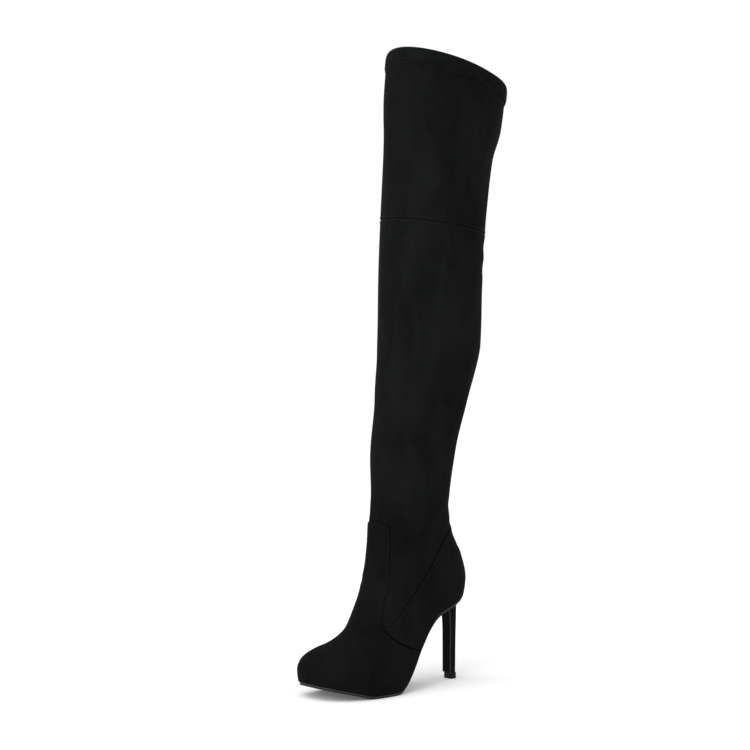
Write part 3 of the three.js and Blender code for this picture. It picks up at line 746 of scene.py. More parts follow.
@cache
def nap_group() -> Tree:
    """Builds the group for a brushed nap: cloudy tone, short fibres and pile height.

    Returns:
        The group, with inputs Fibre (fibres a metre), Brush (brush marks a metre) and Streak (how much
        longer than wide the marks are), and outputs Tone, Pile and Rub.
    """
    tree, given, place = start_group(
        "nap", {"Fibre": 2600.0, "Brush": 55.0, "Streak": 3.0}, ("Tone", "Pile", "Rub")
    )
    flat = calculate(tree, "DIVIDE", 1.0, given.outputs["Streak"])
    stretch = add_node(tree, "ShaderNodeCombineXYZ", {"X": 1.0, "Y": 1.0, "Z": flat}).outputs[0]
    lay = add_node(tree, "ShaderNodeVectorMath", {0: place, 1: stretch}, operation="MULTIPLY").outputs[0]
    brush = noise(tree, lay, given.outputs["Brush"], 5.0, 0.62, 0.7)
    cloud = noise(tree, place, 14.0, 3.0, 0.55)
    fibre = noise(tree, lay, given.outputs["Fibre"], 3.0, 0.7, 0.4)
    tone = calculate(tree, "MULTIPLY_ADD", brush, 0.6, calculate(tree, "MULTIPLY", cloud, 0.4))
    pile = calculate(tree, "MULTIPLY_ADD", fibre, 0.7, calculate(tree, "MULTIPLY", brush, 0.3))
    add_node(tree, "NodeGroupOutput", {
        "Tone": map_range(tree, tone, (0.36, 0.64), kind="SMOOTHSTEP"),
        "Pile": pile,
        "Rub": map_range(tree, cloud, (0.3, 0.75)),
    })
    return tree


@cache
def wear_group() -> Tree:
    """Builds the group for hard surfaces: fine scuffs and a little dust.

    Returns:
        The group, with inputs Scale (marks a metre) and Amount, and outputs Scuff, Dust and Grain.
    """
    tree, given, place = start_group("wear", {"Scale": 300.0, "Amount": 0.5}, ("Scuff", "Dust", "Grain"))
    scuff = map_range(tree, noise(tree, place, given.outputs["Scale"], 6.0, 0.75, 1.5), (0.5, 0.72))
    add_node(tree, "NodeGroupOutput", {
        "Scuff": calculate(tree, "MULTIPLY", scuff, given.outputs["Amount"]),
        "Dust": map_range(tree, noise(tree, place, 60.0, 8.0, 0.8), (0.48, 0.8)),
        "Grain": noise(tree, place, 1800.0, 2.0),
    })
    return tree


def new_material(name: str, values: dict) -> tuple[Material, Tree, Node]:
    """Makes a material with its shader's constant values, and gives it, its tree and the shader."""
    material = bpy.data.materials.new(name)
    material.use_nodes = True
    tree = material.node_tree
    shader = tree.nodes["Principled BSDF"]
    feed(tree, shader, values)
    return material, tree, shader


def dress_shader(
    tree: Tree, shader: Node, color: Socket, rub: Socket, rough: tuple[float, float], height: Socket,
    relief: tuple[float, float],
) -> None:
    """Links what changes over a surface to its shader.

    Args:
        tree: The material's tree.
        shader: Its Principled shader.
        color: Socket of the colour.
        rub: Socket of the share by which the roughness changes.
        rough: Roughness where that share is 0 and where it is 1.
        height: Socket of the fine relief.
        relief: Strength of the relief, and its height in metres.
    """
    strength, distance = relief
    bump = add_node(tree, "ShaderNodeBump", {"Strength": strength, "Distance": distance, "Height": height})
    roughness = map_range(tree, rub, goal=rough)
    feed(tree, shader, {"Base Color": color, "Roughness": roughness, "Normal": bump.outputs[0]})


@dataclass(frozen=True)
class NapFinish:
    """A brushed fabric.

    Attributes:
        name: Name of the material.
        deep: Colour where the nap lies away.
        raised: Colour where it stands up.
        sheen: Strength of the sheen.
        tint: Colour of the sheen.
        fibre: Fibres a metre.
        brush: Brush marks a metre.
        streak: How much longer than wide the marks are.
        bump: Height of the pile in metres.
        dull: Roughness where the nap stands up.
        rubbed: Roughness where it is rubbed flat.
        gloss: Strength of the plain reflection.
    """

    name: str
    deep: Color
    raised: Color
    sheen: float
    tint: Color
    fibre: float = 2400.0
    brush: float = 50.0
    streak: float = 3.0
    bump: float = 0.25 * MM
    dull: float = 0.95
    rubbed: float = 0.78
    gloss: float = 0.035

    def material(self) -> Material:
        """Builds the material."""
        material, tree, shader = new_material(self.name, {
            "Sheen Weight": self.sheen, "Sheen Roughness": 0.42, "Sheen Tint": (*self.tint, 1),
            "Specular IOR Level": self.gloss,
        })
        values = {"Fibre": self.fibre, "Brush": self.brush, "Streak": self.streak}
        nap = add_node(tree, "ShaderNodeGroup", values, node_tree=nap_group()).outputs
        color = mix_colors(tree, nap["Tone"], self.deep, self.raised)
        rough = (self.dull, self.rubbed)
        dress_shader(tree, shader, color, nap["Rub"], rough, nap["Pile"], (0.8, self.bump))
        return material


@dataclass(frozen=True)
class HardFinish:
    """Moulded rubber, lacquer or metal.

    Attributes:
        name: Name of the material.
        base: Its colour.
        worn: Its colour where scuffed.
        rough: Roughness where clean.
        scuffed: Roughness where scuffed.
        metallic: 1 for metal.
        coat: Weight of a clear coat.
        marks: Scuffs a metre.
        amount: How many scuffs show.
        bump: Height of the grain in metres.
        ribs: Ribs a metre on a tread, 0 for none.
        gloss: Strength of the plain reflection.
    """

    name: str
    base: Color
    worn: Color
    rough: float
    scuffed: float
    metallic: float = 0.0
    coat: float = 0.0
    marks: float = 300.0
    amount: float = 0.5
    bump: float = 0.05 * MM
    ribs: float = 0.0
    gloss: float = 0.4

    def material(self) -> Material:
        """Builds the material."""
        material, tree, shader = new_material(self.name, {
            "Metallic": self.metallic, "Coat Weight": self.coat, "Coat Roughness": 0.12,
            "Specular IOR Level": self.gloss,
        })
        values = {"Scale": self.marks, "Amount": self.amount}
        wear = add_node(tree, "ShaderNodeGroup", values, node_tree=wear_group()).outputs
        height = wear["Grain"]
        if self.ribs:
            height = calculate(tree, "MULTIPLY_ADD", waves(tree, "DIAGONAL", self.ribs, 0.0), 4.0, height)
        color = mix_colors(tree, wear["Scuff"], self.base, self.worn)
        dress_shader(tree, shader, color, wear["Dust"], (self.rough, self.scuffed), height, (0.6, self.bump))
        return material


@dataclass(frozen=True)
class KnitFinish:
    """A fine knit or woven tape.

    Attributes:
        name: Name of the material.
        deep: Colour between the threads.
        thread: Colour on the threads.
        pitch: Width of a thread in metres.
        bump: Height of the threads in metres.
    """

    name: str
    deep: Color
    thread: Color
    pitch: float = 0.7 * MM
    bump: float = 0.15 * MM

    def material(self) -> Material:
        """Builds the material."""
        material, tree, shader = new_material(self.name, {
            "Sheen Weight": 0.06, "Sheen Roughness": 0.5, "Specular IOR Level": 0.1,
        })
        scale = math.pi / (self.pitch * 10)
        threads = calculate(tree, "MULTIPLY", *(waves(tree, way, scale, 0.4) for way in ("Z", "DIAGONAL")))
        color = mix_colors(tree, threads, self.deep, self.thread)
        dress_shader(tree, shader, color, threads, (0.9, 0.7), threads, (0.8, self.bump))
        return material


@dataclass(frozen=True)
class Finishes:
    """All finishes of the boot, built once."""

    suede: Material
    hem: Material
    cover: Material
    thread: Material
    painted_edge_shade: Material
    rubber: Material
    edge: Material
    tread: Material
    tip: Material
    lining: Material
    tape: Material
    metal: Material

    @classmethod
    def build(cls) -> "Finishes":
        """Builds every material."""
        looks = dict(
            suede=NapFinish(
                "stretch_suede", (0.0028, 0.0031, 0.0030), (0.0048, 0.0053, 0.0051), 0.008, (0.6, 0.68, 0.66)
            ),
            hem=NapFinish(
                "hem_suede", (0.0029, 0.0031, 0.0031), (0.0055, 0.0060, 0.0059), 0.01, (0.6, 0.66, 0.65),
                fibre=2000.0, brush=80.0, streak=0.5,
            ),
            cover=NapFinish(
                "heel_cover_suede", (0.0024, 0.0025, 0.0026), (0.0046, 0.0048, 0.0050), 0.012,
                (0.7, 0.74, 0.74), fibre=3000.0, brush=90.0, rubbed=0.6, gloss=0.05,
            ),
            thread=NapFinish(
                "black_thread", (0.0028, 0.0029, 0.0029), (0.0075, 0.0078, 0.0078), 0.015, (0.8, 0.85, 0.85),
                fibre=4500.0, brush=700.0, bump=0.08 * MM, dull=0.6, rubbed=0.5, gloss=0.1,
            ),
            # Near-black painted shade for the strip beside the panels' sewn edges, standing in for the
            # shadow of the edge's step.
            painted_edge_shade=NapFinish(
                "sewn_edge_painted_shade", (0.0008, 0.0008, 0.0008), (0.0018, 0.0018, 0.0018), 0.003,
                (0.7, 0.74, 0.74), gloss=0.01,
            ),
            rubber=HardFinish(
                "sole_rubber", (0.005, 0.005, 0.0052), (0.02, 0.02, 0.02), 0.5, 0.65, gloss=0.2
            ),
            # Lighter colour for the sole's top bead and the heel's breast corners: a painted highlight of
            # the bright lines along these edges.
            edge=HardFinish(
                "edge_painted_highlight", (0.020, 0.020, 0.021), (0.040, 0.040, 0.040), 0.36, 0.5, coat=0.05, marks=700.0
            ),
            tread=HardFinish(
                "tread_rubber", (0.010, 0.010, 0.0105), (0.04, 0.038, 0.037), 0.55, 0.75, ribs=40.0,
                bump=0.2 * MM, gloss=0.3,
            ),
            tip=HardFinish(
                "heel_tip_rubber", (0.0035, 0.0035, 0.0037), (0.012, 0.012, 0.012), 0.24, 0.36, gloss=0.14
            ),
            lining=KnitFinish("knit_lining", (0.004, 0.004, 0.004), (0.013, 0.0125, 0.0125)),
            tape=KnitFinish("zip_tape", (0.003, 0.003, 0.003), (0.010, 0.010, 0.010), pitch=0.45 * MM),
            metal=HardFinish(
                "dark_zip_metal", (0.05, 0.05, 0.053), (0.14, 0.14, 0.145), 0.28, 0.42, metallic=1.0,
                amount=0.4,
            ),
        )
        return cls(**{key: finish.material() for key, finish in looks.items()})


# Stitches

def along_line(run: Array, values: Array, at: Array) -> Array:
    """Values at lengths along a line: run holds the line's own lengths, values a row of numbers for each."""
    return np.stack([np.interp(at, run, column) for column in values.T], axis=1)


@dataclass(frozen=True)
class Stitching:
    """A row of lockstitches that lies on the surface along a line.

    Attributes:
        length: Length of a stitch.
        gap: Gap between two stitches.
        thick: Thickness of the thread.
        flat: Half height of a stitch, as a share of the thickness.
        blunt: How blunt its ends are, 1 for the ends of an ellipse.
    """

    length: float = 2.5 * MM
    gap: float = 0.9 * MM
    thick: float = 0.7 * MM
    flat: float = 0.42
    blunt: float = 0.6

    def template(self) -> tuple[Array, Array]:
        """One stitch along X with Z up, as points and triangles."""
        around, rings = 6, 5
        points = []
        for i in range(rings):
            t = math.pi * (i + 0.5) / rings
            along = -math.cos(t) * self.length / 2
            wide = math.sin(t) ** self.blunt * self.thick
            for k in range(around):
                a = 2 * math.pi * k / around
                points.append((along, wide * math.cos(a) / 2, wide * math.sin(a) * self.flat))
        faces = []
        for i in range(rings - 1):
            for k in range(around):
                a, b = i * around + k, i * around + (k + 1) % around
                faces += [(a, b + around, b), (a, a + around, b + around)]
        last = len(points) - around
        for k in range(1, around - 1):
            faces += [(0, k + 1, k), (last, last + k, last + k + 1)]
        return np.array(points), np.array(faces)

    def sew(self, name: str, form: Form, down: Array, side: Array, out: Array, material: Material) -> Thing:
        """Lays the row of stitches.

        Args:
            name: Name of the piece.
            form: The boot's form.
            down: Places of the line's points.
            side: Their places round the boot.
            out: Height of the line over the form.
            material: Finish of the thread.

        Returns:
            One object with all the stitches of the row.
        """
        line = form.beside(down, side, out)
        run = running(line_steps(line))
        pitch = self.length + self.gap
        middles = (np.arange(int(run[-1] / pitch)) + 0.5) * pitch
        centre = along_line(run, line, middles)
        half = self.length / 2
        ahead = unit(along_line(run, line, middles + half) - along_line(run, line, middles - half))
        up = along_line(run, form.normals(down, side), middles)
        beside = unit(np.cross(up, ahead))
        up = np.cross(ahead, beside)
        shape, faces = self.template()
        points = (
            centre[:, None] + shape[None, :, 0, None] * ahead[:, None]
            + shape[None, :, 1, None] * beside[:, None] + shape[None, :, 2, None] * up[:, None]
        )
        corners = faces[None] + (np.arange(len(middles)) * len(shape))[:, None, None]
        return place_piece(make_mesh(name, points, corners.reshape(-1, 3), material), Slot.SUEDE)


# Sub-assemblies

@dataclass
class Shell:
    """Common sizes and helpers of the fabric pieces."""

    form: Form
    drape: Drape
    finishes: Finishes
    column: float = 2.4 * MM
    round_over: float = 0.9 * MM
    seam_dive: float = 1.1 * MM
    dive_width: float = 0.55 * MM
    seam_puff: float = 0.22 * MM
    puff_at: float = 2.6 * MM

    def turned_in(self, distance: Array) -> Array:
        """Height beside the knee seam: the sewn edge dives in, with a soft puff beside it."""
        puff = self.seam_puff * np.exp(-(((distance - self.puff_at) / MM) ** 2) / 2)
        return puff - self.seam_dive * np.exp(-distance / self.dive_width)

    def feather(self, points: Array, line: float) -> Array:
        """How far the fabric turns in where it meets a line above the sole's underside."""
        height = np.clip(self.form.above_sole(points) - line, 0, self.round_over)
        return self.round_over * (1 - np.sqrt(np.maximum(1 - (1 - height / self.round_over) ** 2, 0)))

    def skin(self, down: Array, side: Array, out: Array | float = 0.0) -> Array:
        """Points of the draped surface, turned in along the sole.

        Args:
            down: Place of each row.
            side: Places round the boot, row by row.
            out: Height over the form.

        Returns:
            The points, rows by columns by 3.
        """
        base = self.form.surface(down, side)
        lift = self.drape.lift(down, side) + out - self.feather(base, self.form.last.outsole)
        return base + self.form.normals(down, side) * lift[..., None]


@dataclass
class Upper(Shell):
    """Foot and leg up to the knee seam, with its seams."""

    seam_side: float = -0.07
    seam_depth: float = 0.75 * MM
    seam_width: float = 0.9 * MM
    seam_apart: float = 2.0 * MM
    stitch_out: float = 0.18 * MM
    row_apart: float = 3.9 * MM
    tuck_in: float = 3.0 * MM
    tuck_under: float = 0.5 * MM
    sole_close: tuple[float, ...] = (0.25 * MM, 0.55 * MM, 0.95 * MM, 1.5 * MM)
    seam_close: tuple[float, ...] = (0.35 * MM, 0.8 * MM, 1.5 * MM, 2.4 * MM)
    ball_girth: float = 0.16
    leg_girth: float = 0.165

    def rows(self) -> Array:
        """Places of the mesh's rows, closer on the foot."""
        at, last = self.form.at, self.form.last
        start = at("knee") + last.gap / 2
        stops = (
            start, start + 1.2 * MM, start + 5 * MM, at("ankle", 0.2), at("bulge"), at("seatEdge", 0.5),
            at("waist", 0.5), at("toeEnd"), self.form.tip,
        )
        return walk(stops, (0.3 * MM, 0.9 * MM, 2.3 * MM, 1.5 * MM, 0.7 * MM, 1.3 * MM, 1.5 * MM, 0.6 * MM))

    def seam_dip(self, distance: Array) -> Array:
        """Height beside a sewn seam: a narrow valley with a soft puff on both sides."""
        valley = -self.seam_depth * np.exp(-((distance / self.seam_width) ** 2))
        beside = (np.abs(distance) - 3 * self.seam_width) / (1.8 * self.seam_width)
        return valley + self.seam_puff * np.exp(-(beside**2))

    def columns(self, rows: Array) -> Array:
        """Places round the boot for each row: even, with more at the sole line and at the seams."""
        cut = self.form.cut(rows, self.form.last.outsole)
        girth = self.form.half_girth(rows)
        count = int(round(2 * float(girth.max()) / self.column))
        shares = crowded(count, np.array(self.sole_close) / (2 * self.ball_girth))
        close = np.array([*(-step for step in self.seam_close[::-1]), 0, *self.seam_close])
        seam = (1 + self.seam_side + close / self.leg_girth) / 2
        kept = shares[np.abs(shares - (1 + self.seam_side) / 2) > 0.011]
        shares = np.sort(np.concatenate([kept, seam]))
        return (2 * shares[None, :] - 1) * cut[:, None]

    def tucked(self, points: Array) -> Array:
        """Carries both lower edges inwards under the foot, so that the joint with the sole is closed."""
        across = points[:, -1] - points[:, 0]
        width = np.linalg.norm(across, axis=1, keepdims=True)
        reach = across / np.maximum(width, 1e-9) * np.minimum(self.tuck_in, width / 2)
        under = np.array([0, 0, self.tuck_under]) * (width > self.tuck_under)
        first, last = points[:, 0] + reach - under, points[:, -1] - reach - under
        return np.concatenate([first[:, None], points, last[:, None]], axis=1)

    def build_body(self) -> None:
        """Makes the skin of foot and leg, closed at the back and at the toe."""
        rows = self.rows()
        side = self.columns(rows)
        girth = self.form.half_girth(rows)[:, None]
        front = self.seam_dip((side - self.seam_side) * girth)
        tongue = self.form.at("cuff", 0.5)
        out = front * smooth_step((tongue - rows[:, None]) / (6 * MM))
        back = self.seam_dip((1 - np.abs(side)) * girth)
        out = out + back * smooth_step((self.form.at("counter") - rows[:, None]) / (6 * MM))
        points = self.tucked(self.skin(rows, side, out + self.turned_in(rows[:, None] - rows[0])))
        nose = points[-1].mean(axis=0)
        closing = np.concatenate([points, np.broadcast_to(nose, (1, *points.shape[1:]))])
        body = make_mesh("upper_skin", closing, grid_faces(*closing.shape[:2]), self.finishes.suede, WELD)
        place_piece(body, Slot.SUEDE, stands_for=["upper"])

    def build_seams(self) -> None:
        """Sews the two rows of the knee seam and the two of the front seam."""
        form = self.form
        knee = form.at("knee")
        side = np.linspace(-1, 1, 400)
        down = np.linspace(knee + 4 * MM, form.at("cuff", 0.5), 300)
        beside = self.seam_apart / form.half_girth(down)
        rows = (
            ("knee_stitches_lower", np.full(len(side), knee + self.row_apart / 2), side),
            ("knee_stitches_upper", np.full(len(side), knee - self.row_apart / 2), side),
            ("front_stitches_outer", down, self.seam_side + beside),
            ("front_stitches_inner", down, self.seam_side - beside),
        )
        for name, place, around in rows:
            lift = self.drape.lift(place, around) + self.stitch_out
            Stitching().sew(name, form, place, around, lift, self.finishes.thread)


@dataclass
class Panel(Shell):
    """A panel sewn on the upper, with a turned edge and a row of stitches inside it."""

    inset: float = 1.7 * MM
    counter_inset: float = 1.5 * MM
    # Width of the painted shade beside a panel's sewn edge.
    painted_shade_width: float = 0.85 * MM
    stitched_side: float = 0.3
    stitch_out: float = 0.15 * MM
    pitch: float = 1.5 * MM
    edge_close: tuple[float, ...] = (0.2 * MM, 0.5 * MM, 0.9 * MM, 1.4 * MM, 2.0 * MM)
    rise_at: tuple[float, ...] = (0.0, 0.2 * MM, 0.5 * MM, 0.9 * MM, 1.7 * MM, 2.6 * MM)
    rise_to: tuple[float, ...] = (-0.375, 0.55, 0.98, 1.08, 0.9, 1.0)
    coarse: Stitching = Stitching(gap=1.4 * MM, thick=1.1 * MM)

    def raise_by(self, distance: Array) -> Array:
        """Height of the panel over the form at a distance from its edge."""
        return np.interp(distance, self.rise_at, self.rise_to) * self.form.last.overlay

    def build_panel(self, name: str, down: Array, side: Array, edge: Array) -> None:
        """Makes the panel's skin.

        Args:
            name: Name of the piece.
            down: Places of its points down the boot.
            side: Their places round it.
            edge: Sewn edge as pairs of down and side, close together.
        """
        away = nearest(self.form.surface(edge[:, 0], edge[:, 1]))
        base = self.form.surface(down, side)
        distance = np.array([away(point) for point in base.reshape(-1, 3)]).reshape(side.shape)
        points = self.skin(down, side, self.raise_by(distance))
        thing = make_mesh(name, points, grid_faces(*side.shape), self.finishes.suede, WELD)
        # Painted shade along the sewn edge.
        self.paint_edge_shade(thing, self.skin(edge[:, 0], edge[:, 1], self.form.last.overlay / 2))
        place_piece(thing, Slot.SUEDE)

    def paint_edge_shade(self, thing: Thing, line: Array) -> None:
        """Paints shade on a panel's faces beside its sewn edge, a line of points: a near-black finish that
        stands in for the shadow along the edge.
        """
        thing.data.materials.append(self.finishes.painted_edge_shade)
        away = nearest(line)
        for polygon in thing.data.polygons:
            if away(polygon.center) < self.painted_shade_width:
                polygon.material_index = 1

    def spread(self, widths: Array) -> Array:
        """Shares for a panel's columns, with more of them near both edges. widths holds its width by row."""
        near = np.array(self.edge_close) / float(np.median(widths))
        return crowded(int(round(float(np.max(widths)) / self.column)), near)

    def sew_edge(
        self, name: str, down: Array, side: Array, hand: int, inset: float,
        stitching: Stitching = Stitching(),
    ) -> None:
        """Sews a row of stitches beside an edge.

        Args:
            name: Name of the piece.
            down: Places of the edge's points down the boot.
            side: Their places round it.
            hand: 1 where the panel lies on the side of rising side as the edge runs down, -1 on the other.
            inset: Distance of the row from the edge.
            stitching: Kind of stitches.
        """
        girth = self.form.half_girth(down)
        step = np.gradient(down), np.gradient(side) * girth
        length = np.hypot(*step) + 1e-12
        down = down - hand * inset * step[1] / length
        side = side + hand * inset * step[0] / length / girth
        lift = self.drape.lift(down, side) + self.form.last.overlay + self.stitch_out
        keep = self.form.above_sole(self.form.surface(down, side)) > self.form.last.outsole + 2 * MM
        stitching.sew(name, self.form, down[keep], side[keep], lift[keep], self.finishes.thread)

    def vamp_line(self) -> tuple[Curve, Curve, Curve, float]:
        """The vamp's rows as curves over their number.

        Returns:
            Middle, end and side of the rows, and the number of the row that reaches the sole.
        """
        form = self.form
        steps = np.arange(len(VAMP_ROWS))
        middle = through_values(steps, [form.at(*row.middle) for row in VAMP_ROWS])
        end = through_values(steps, [form.at(*row.end) for row in VAMP_ROWS])
        given = [row.side for row in VAMP_ROWS if row.side is not None]
        first = len(given)
        reach = form.cut(end(np.array([float(first)])), form.last.outsole)[0]
        line = through_values(steps[:first + 1], [*given, reach])

        def side(step: Array) -> Array:
            """Side of the vamp's end, along the sole from the first row that reaches it."""
            cut = form.cut(end(step), form.last.outsole)
            return np.where(step < first, np.minimum(line(np.minimum(step, first)), cut), cut)

        return middle, end, side, float(first)

    def build_vamp(self) -> None:
        """Makes the vamp with its tongue, from the ankle to under the toe."""
        form = self.form
        middle, end, side, first = self.vamp_line()
        fine = np.linspace(0, len(VAMP_ROWS) - 1, 1500)
        outline = form.surface(end(fine), side(fine))
        moved = np.maximum(np.diff(middle(fine)), line_steps(outline))
        run = running(moved)
        toe = np.interp(form.at("toeEnd"), middle(fine), run)
        rows = np.interp(walk((0, 3 * MM, toe, run[-1]), (0.3 * MM, self.pitch, 0.5 * MM)), run, fine)
        share = 2 * self.spread(2 * side(rows) * form.half_girth(end(rows)))[None, :] - 1
        down = middle(rows)[:, None] + (end(rows) - middle(rows))[:, None] * share**2
        across = np.linspace(-1, 1, 120)
        top = np.stack([middle(0) + (end(0) - middle(0)) * across**2, across * side(np.zeros(1))], axis=1)
        sewn = np.linspace(0, first, 1200)
        ways = [np.stack([end(sewn), way * side(sewn)], axis=1) for way in (1, -1)]
        self.build_panel("vamp", down, share * side(rows)[:, None], np.concatenate([top, *ways]))
        for name, line, hand in (("vamp_stitches_outer", ways[0], -1), ("vamp_stitches_inner", ways[1], 1)):
            seen = line[np.abs(line[:, 1]) < self.stitched_side]
            self.sew_edge(name, seen[:, 0], seen[:, 1], hand, self.inset)

    def build_counter(self) -> None:
        """Makes the counter round the heel, down to the vamp's edge."""
        form = self.form
        curve, start, end = form.edge(COUNTER_EDGE)
        stops = (start, start + 3 * MM, form.at("bulge"), form.at("seatEdge", 0.5), end)
        rows = walk(stops, (0.5 * MM, self.pitch, 0.7 * MM, 1.0 * MM))
        _, vamp_end, vamp_side, first = self.vamp_line()
        steps = np.linspace(0, first, 900)
        meeting = np.stack([vamp_end(steps), vamp_side(steps)], axis=1)
        meeting = meeting[meeting[:, 1] > curve(np.array(end))]
        lines = np.linspace(start, end, 900)
        sides = curve(lines)
        across = np.linspace(sides[0], 2 - sides[0], 60)
        edge = np.concatenate([
            np.stack([lines, sides], axis=1), np.stack([lines, -sides], axis=1), meeting, meeting * [1, -1],
            np.stack([np.full(60, start), across], axis=1),
        ])
        closed = form.cut(rows, form.last.outsole) > 0.999
        whole, rest = rows[closed], rows[np.cumsum(~closed) > 0]
        rest = np.concatenate([whole[-1:], rest])
        width = (2 - 2 * curve(whole)) * form.half_girth(whole)
        side = curve(whole)[:, None] + (2 - 2 * curve(whole))[:, None] * self.spread(width)[None, :]
        self.build_panel("counter_back", np.broadcast_to(whole[:, None], side.shape), side, edge)
        turned = smooth_step((rest - form.at("breast")) / (end - form.at("breast")))
        limit = form.cut(rest, form.last.outsole)
        for _ in range(3):
            lowest = rest + turned * (np.interp(limit, meeting[:, 1], meeting[:, 0]) - end)
            limit = form.cut(lowest, form.last.outsole)
        first_side = np.minimum(curve(rest), limit)
        share = self.spread((limit - first_side) * form.half_girth(rest))
        side = first_side[:, None] + (limit - first_side)[:, None] * share[None, :]
        down = rest[:, None] + turned[:, None] * (np.interp(side, meeting[:, 1], meeting[:, 0]) - end)
        self.build_panel("counter_outer", down, side, edge)
        self.build_panel("counter_inner", down[:, ::-1], -side[:, ::-1], edge)
        for name, way in (("counter_stitches_outer", 1), ("counter_stitches_inner", -1)):
            self.sew_edge(name, lines, way * sides, way, self.counter_inset, self.coarse)


@dataclass
class LegTop(Shell):
    """The thigh panel, the folded top band and the lining."""

    band_height: float = 17.5 * MM
    band_swell: float = 1.4 * MM
    fold_round: float = 1.5 * MM
    gather: float = 0.22 * MM
    lean: float = 1.1 * MM
    lean_height: float = 6 * MM
    stitched: float = 3.4 * MM
    thin: float = 0.45
    stitch_out: float = 0.15 * MM
    rise: float = 0.7 * MM
    crest: float = 1.6 * MM
    crest_side: float = 0.73
    crest_width: float = 0.17
    inside: float = 0.2 * MM
    corner: float = 0.5 * MM
    fall_run: float = 0.9 * MM
    under_band: float = 4 * MM
    back_seam: float = 0.6 * MM
    back_width: float = 1.4 * MM
    columns: int = 170

    def slack(self, side: Array) -> Array:
        """Height of the hem's three slow waves round the leg."""
        return 0.35 * MM * np.sin(2 * math.pi * 3 * side + 0.6)

    def sides(self) -> Array:
        """Even places round the leg, closed at the back."""
        return np.linspace(-1, 1, self.columns + 1)

    def build_thigh(self) -> None:
        """Makes the thigh panel, turned in at the knee seam."""
        last = self.form.last
        knee = self.form.at("knee") - last.gap / 2
        stops = (self.band_height - self.under_band, knee - 6 * MM, knee - 1.5 * MM, knee)
        rows = walk(stops, (2.3 * MM, 0.9 * MM, 0.3 * MM))
        side = np.broadcast_to(self.sides(), (len(rows), self.columns + 1))
        back = (1 - np.abs(side)) * self.form.half_girth(rows)[:, None]
        dip = self.back_seam * np.exp(-((back / self.back_width) ** 2))
        points = self.skin(rows, side, self.turned_in(knee - rows[:, None]) - dip)
        thing = make_mesh("thigh_skin", points, grid_faces(*side.shape), self.finishes.suede, WELD)
        place_piece(thing, Slot.SUEDE, stands_for=["thigh_panel"])

    def band_profile(self) -> Array:
        """Section of the folded hem as pairs of down and out, from its inner edge over the top and out."""
        r, swell, wall = self.fold_round, self.band_swell, self.form.last.wall
        end = self.band_height - self.form.last.gap / 2
        inner = -wall - self.inside
        middle = (swell + inner) / 2
        half = (swell - inner) / 2
        turn = np.linspace(math.pi, 0, 13)
        over = np.stack([r - (r + self.rise) * np.sin(turn), middle + half * np.cos(turn)], axis=1)
        thick_end = end - self.stitched
        thick = np.array([[d, swell] for d in np.linspace(r + MM, thick_end - self.corner, 8)])
        step = np.linspace(0, 1, 6)
        thin = self.thin * swell
        falling = swell - (swell - thin) * smooth_step(step)
        fall = np.stack([thick_end + self.fall_run * step, falling], axis=1)
        flat_start = thick_end + self.fall_run + 0.4 * MM
        flat = np.array([[d, thin] for d in np.linspace(flat_start, end - self.corner, 5)])
        turn_in = np.linspace(0, math.pi / 2, 5)[1:]
        corner = self.corner * (1 - np.stack([np.sin(turn_in), np.cos(turn_in)], axis=1))
        edge = np.array([end, thin]) - corner
        start = np.array([[d, inner] for d in np.linspace(end, r + MM, 9)])
        profile = np.concatenate([start, over, thick, fall, flat, edge, [[end, -self.inside]]])
        profile[:, 1] -= self.lean * np.clip(1 - profile[:, 0] / self.lean_height, 0, 1) ** 2
        return profile

    def build_band(self) -> None:
        """Makes the folded hem with its soft gathers and its row of stitches."""
        side = self.sides()
        profile = self.band_profile()
        rows = []
        crest = self.crest * np.exp(-(((side - self.crest_side) / self.crest_width) ** 2))
        fine = np.sin(2 * math.pi * 46 * side + 3 * np.sin(9 * side))
        wave = fine * np.sin(2 * math.pi * 7 * side + 1)
        for down, out in profile:
            place = down - crest * max(0.0, 1 - down / self.band_height)
            soft = self.gather * wave * np.clip((down - MM) / (8 * MM), 0, 1)
            rows.append(self.form.beside(place, side, out + soft + self.slack(side)))
        points = np.array(rows)
        thing = make_mesh("top_hem", points, grid_faces(*points.shape[:2]), self.finishes.hem, WELD)
        place_piece(thing, Slot.HEM, stands_for=["top_band"])
        line = np.linspace(-1, 1, 400)
        down = np.full(len(line), self.band_height - 1.3 * MM)
        out = self.thin * self.band_swell + self.slack(line) + self.stitch_out
        Stitching(thick=0.6 * MM).sew("hem_stitches", self.form, down, line, out, self.finishes.thread)

    def build_lining(self) -> None:
        """Makes the lining from under the hem to the toe, with its face to the inside."""
        form, last = self.form, self.form.last
        stops = (self.band_height - self.under_band, form.at("ankle"), form.at("toeEnd"))
        rows = walk(stops, (4 * MM, 2.5 * MM))
        cut = form.cut(rows, last.outsole + 2.2 * MM)
        side = np.linspace(-1, 1, 121)[None, :] * cut[:, None]
        lift = self.drape.lift(rows, side)
        points = form.beside(rows, side, lift - last.wall + 0.1 * MM)
        faces = grid_faces(*side.shape)[:, ::-1]
        thing = make_mesh("leg_lining", points, faces, self.finishes.lining, WELD)
        place_piece(thing, Slot.LINING)


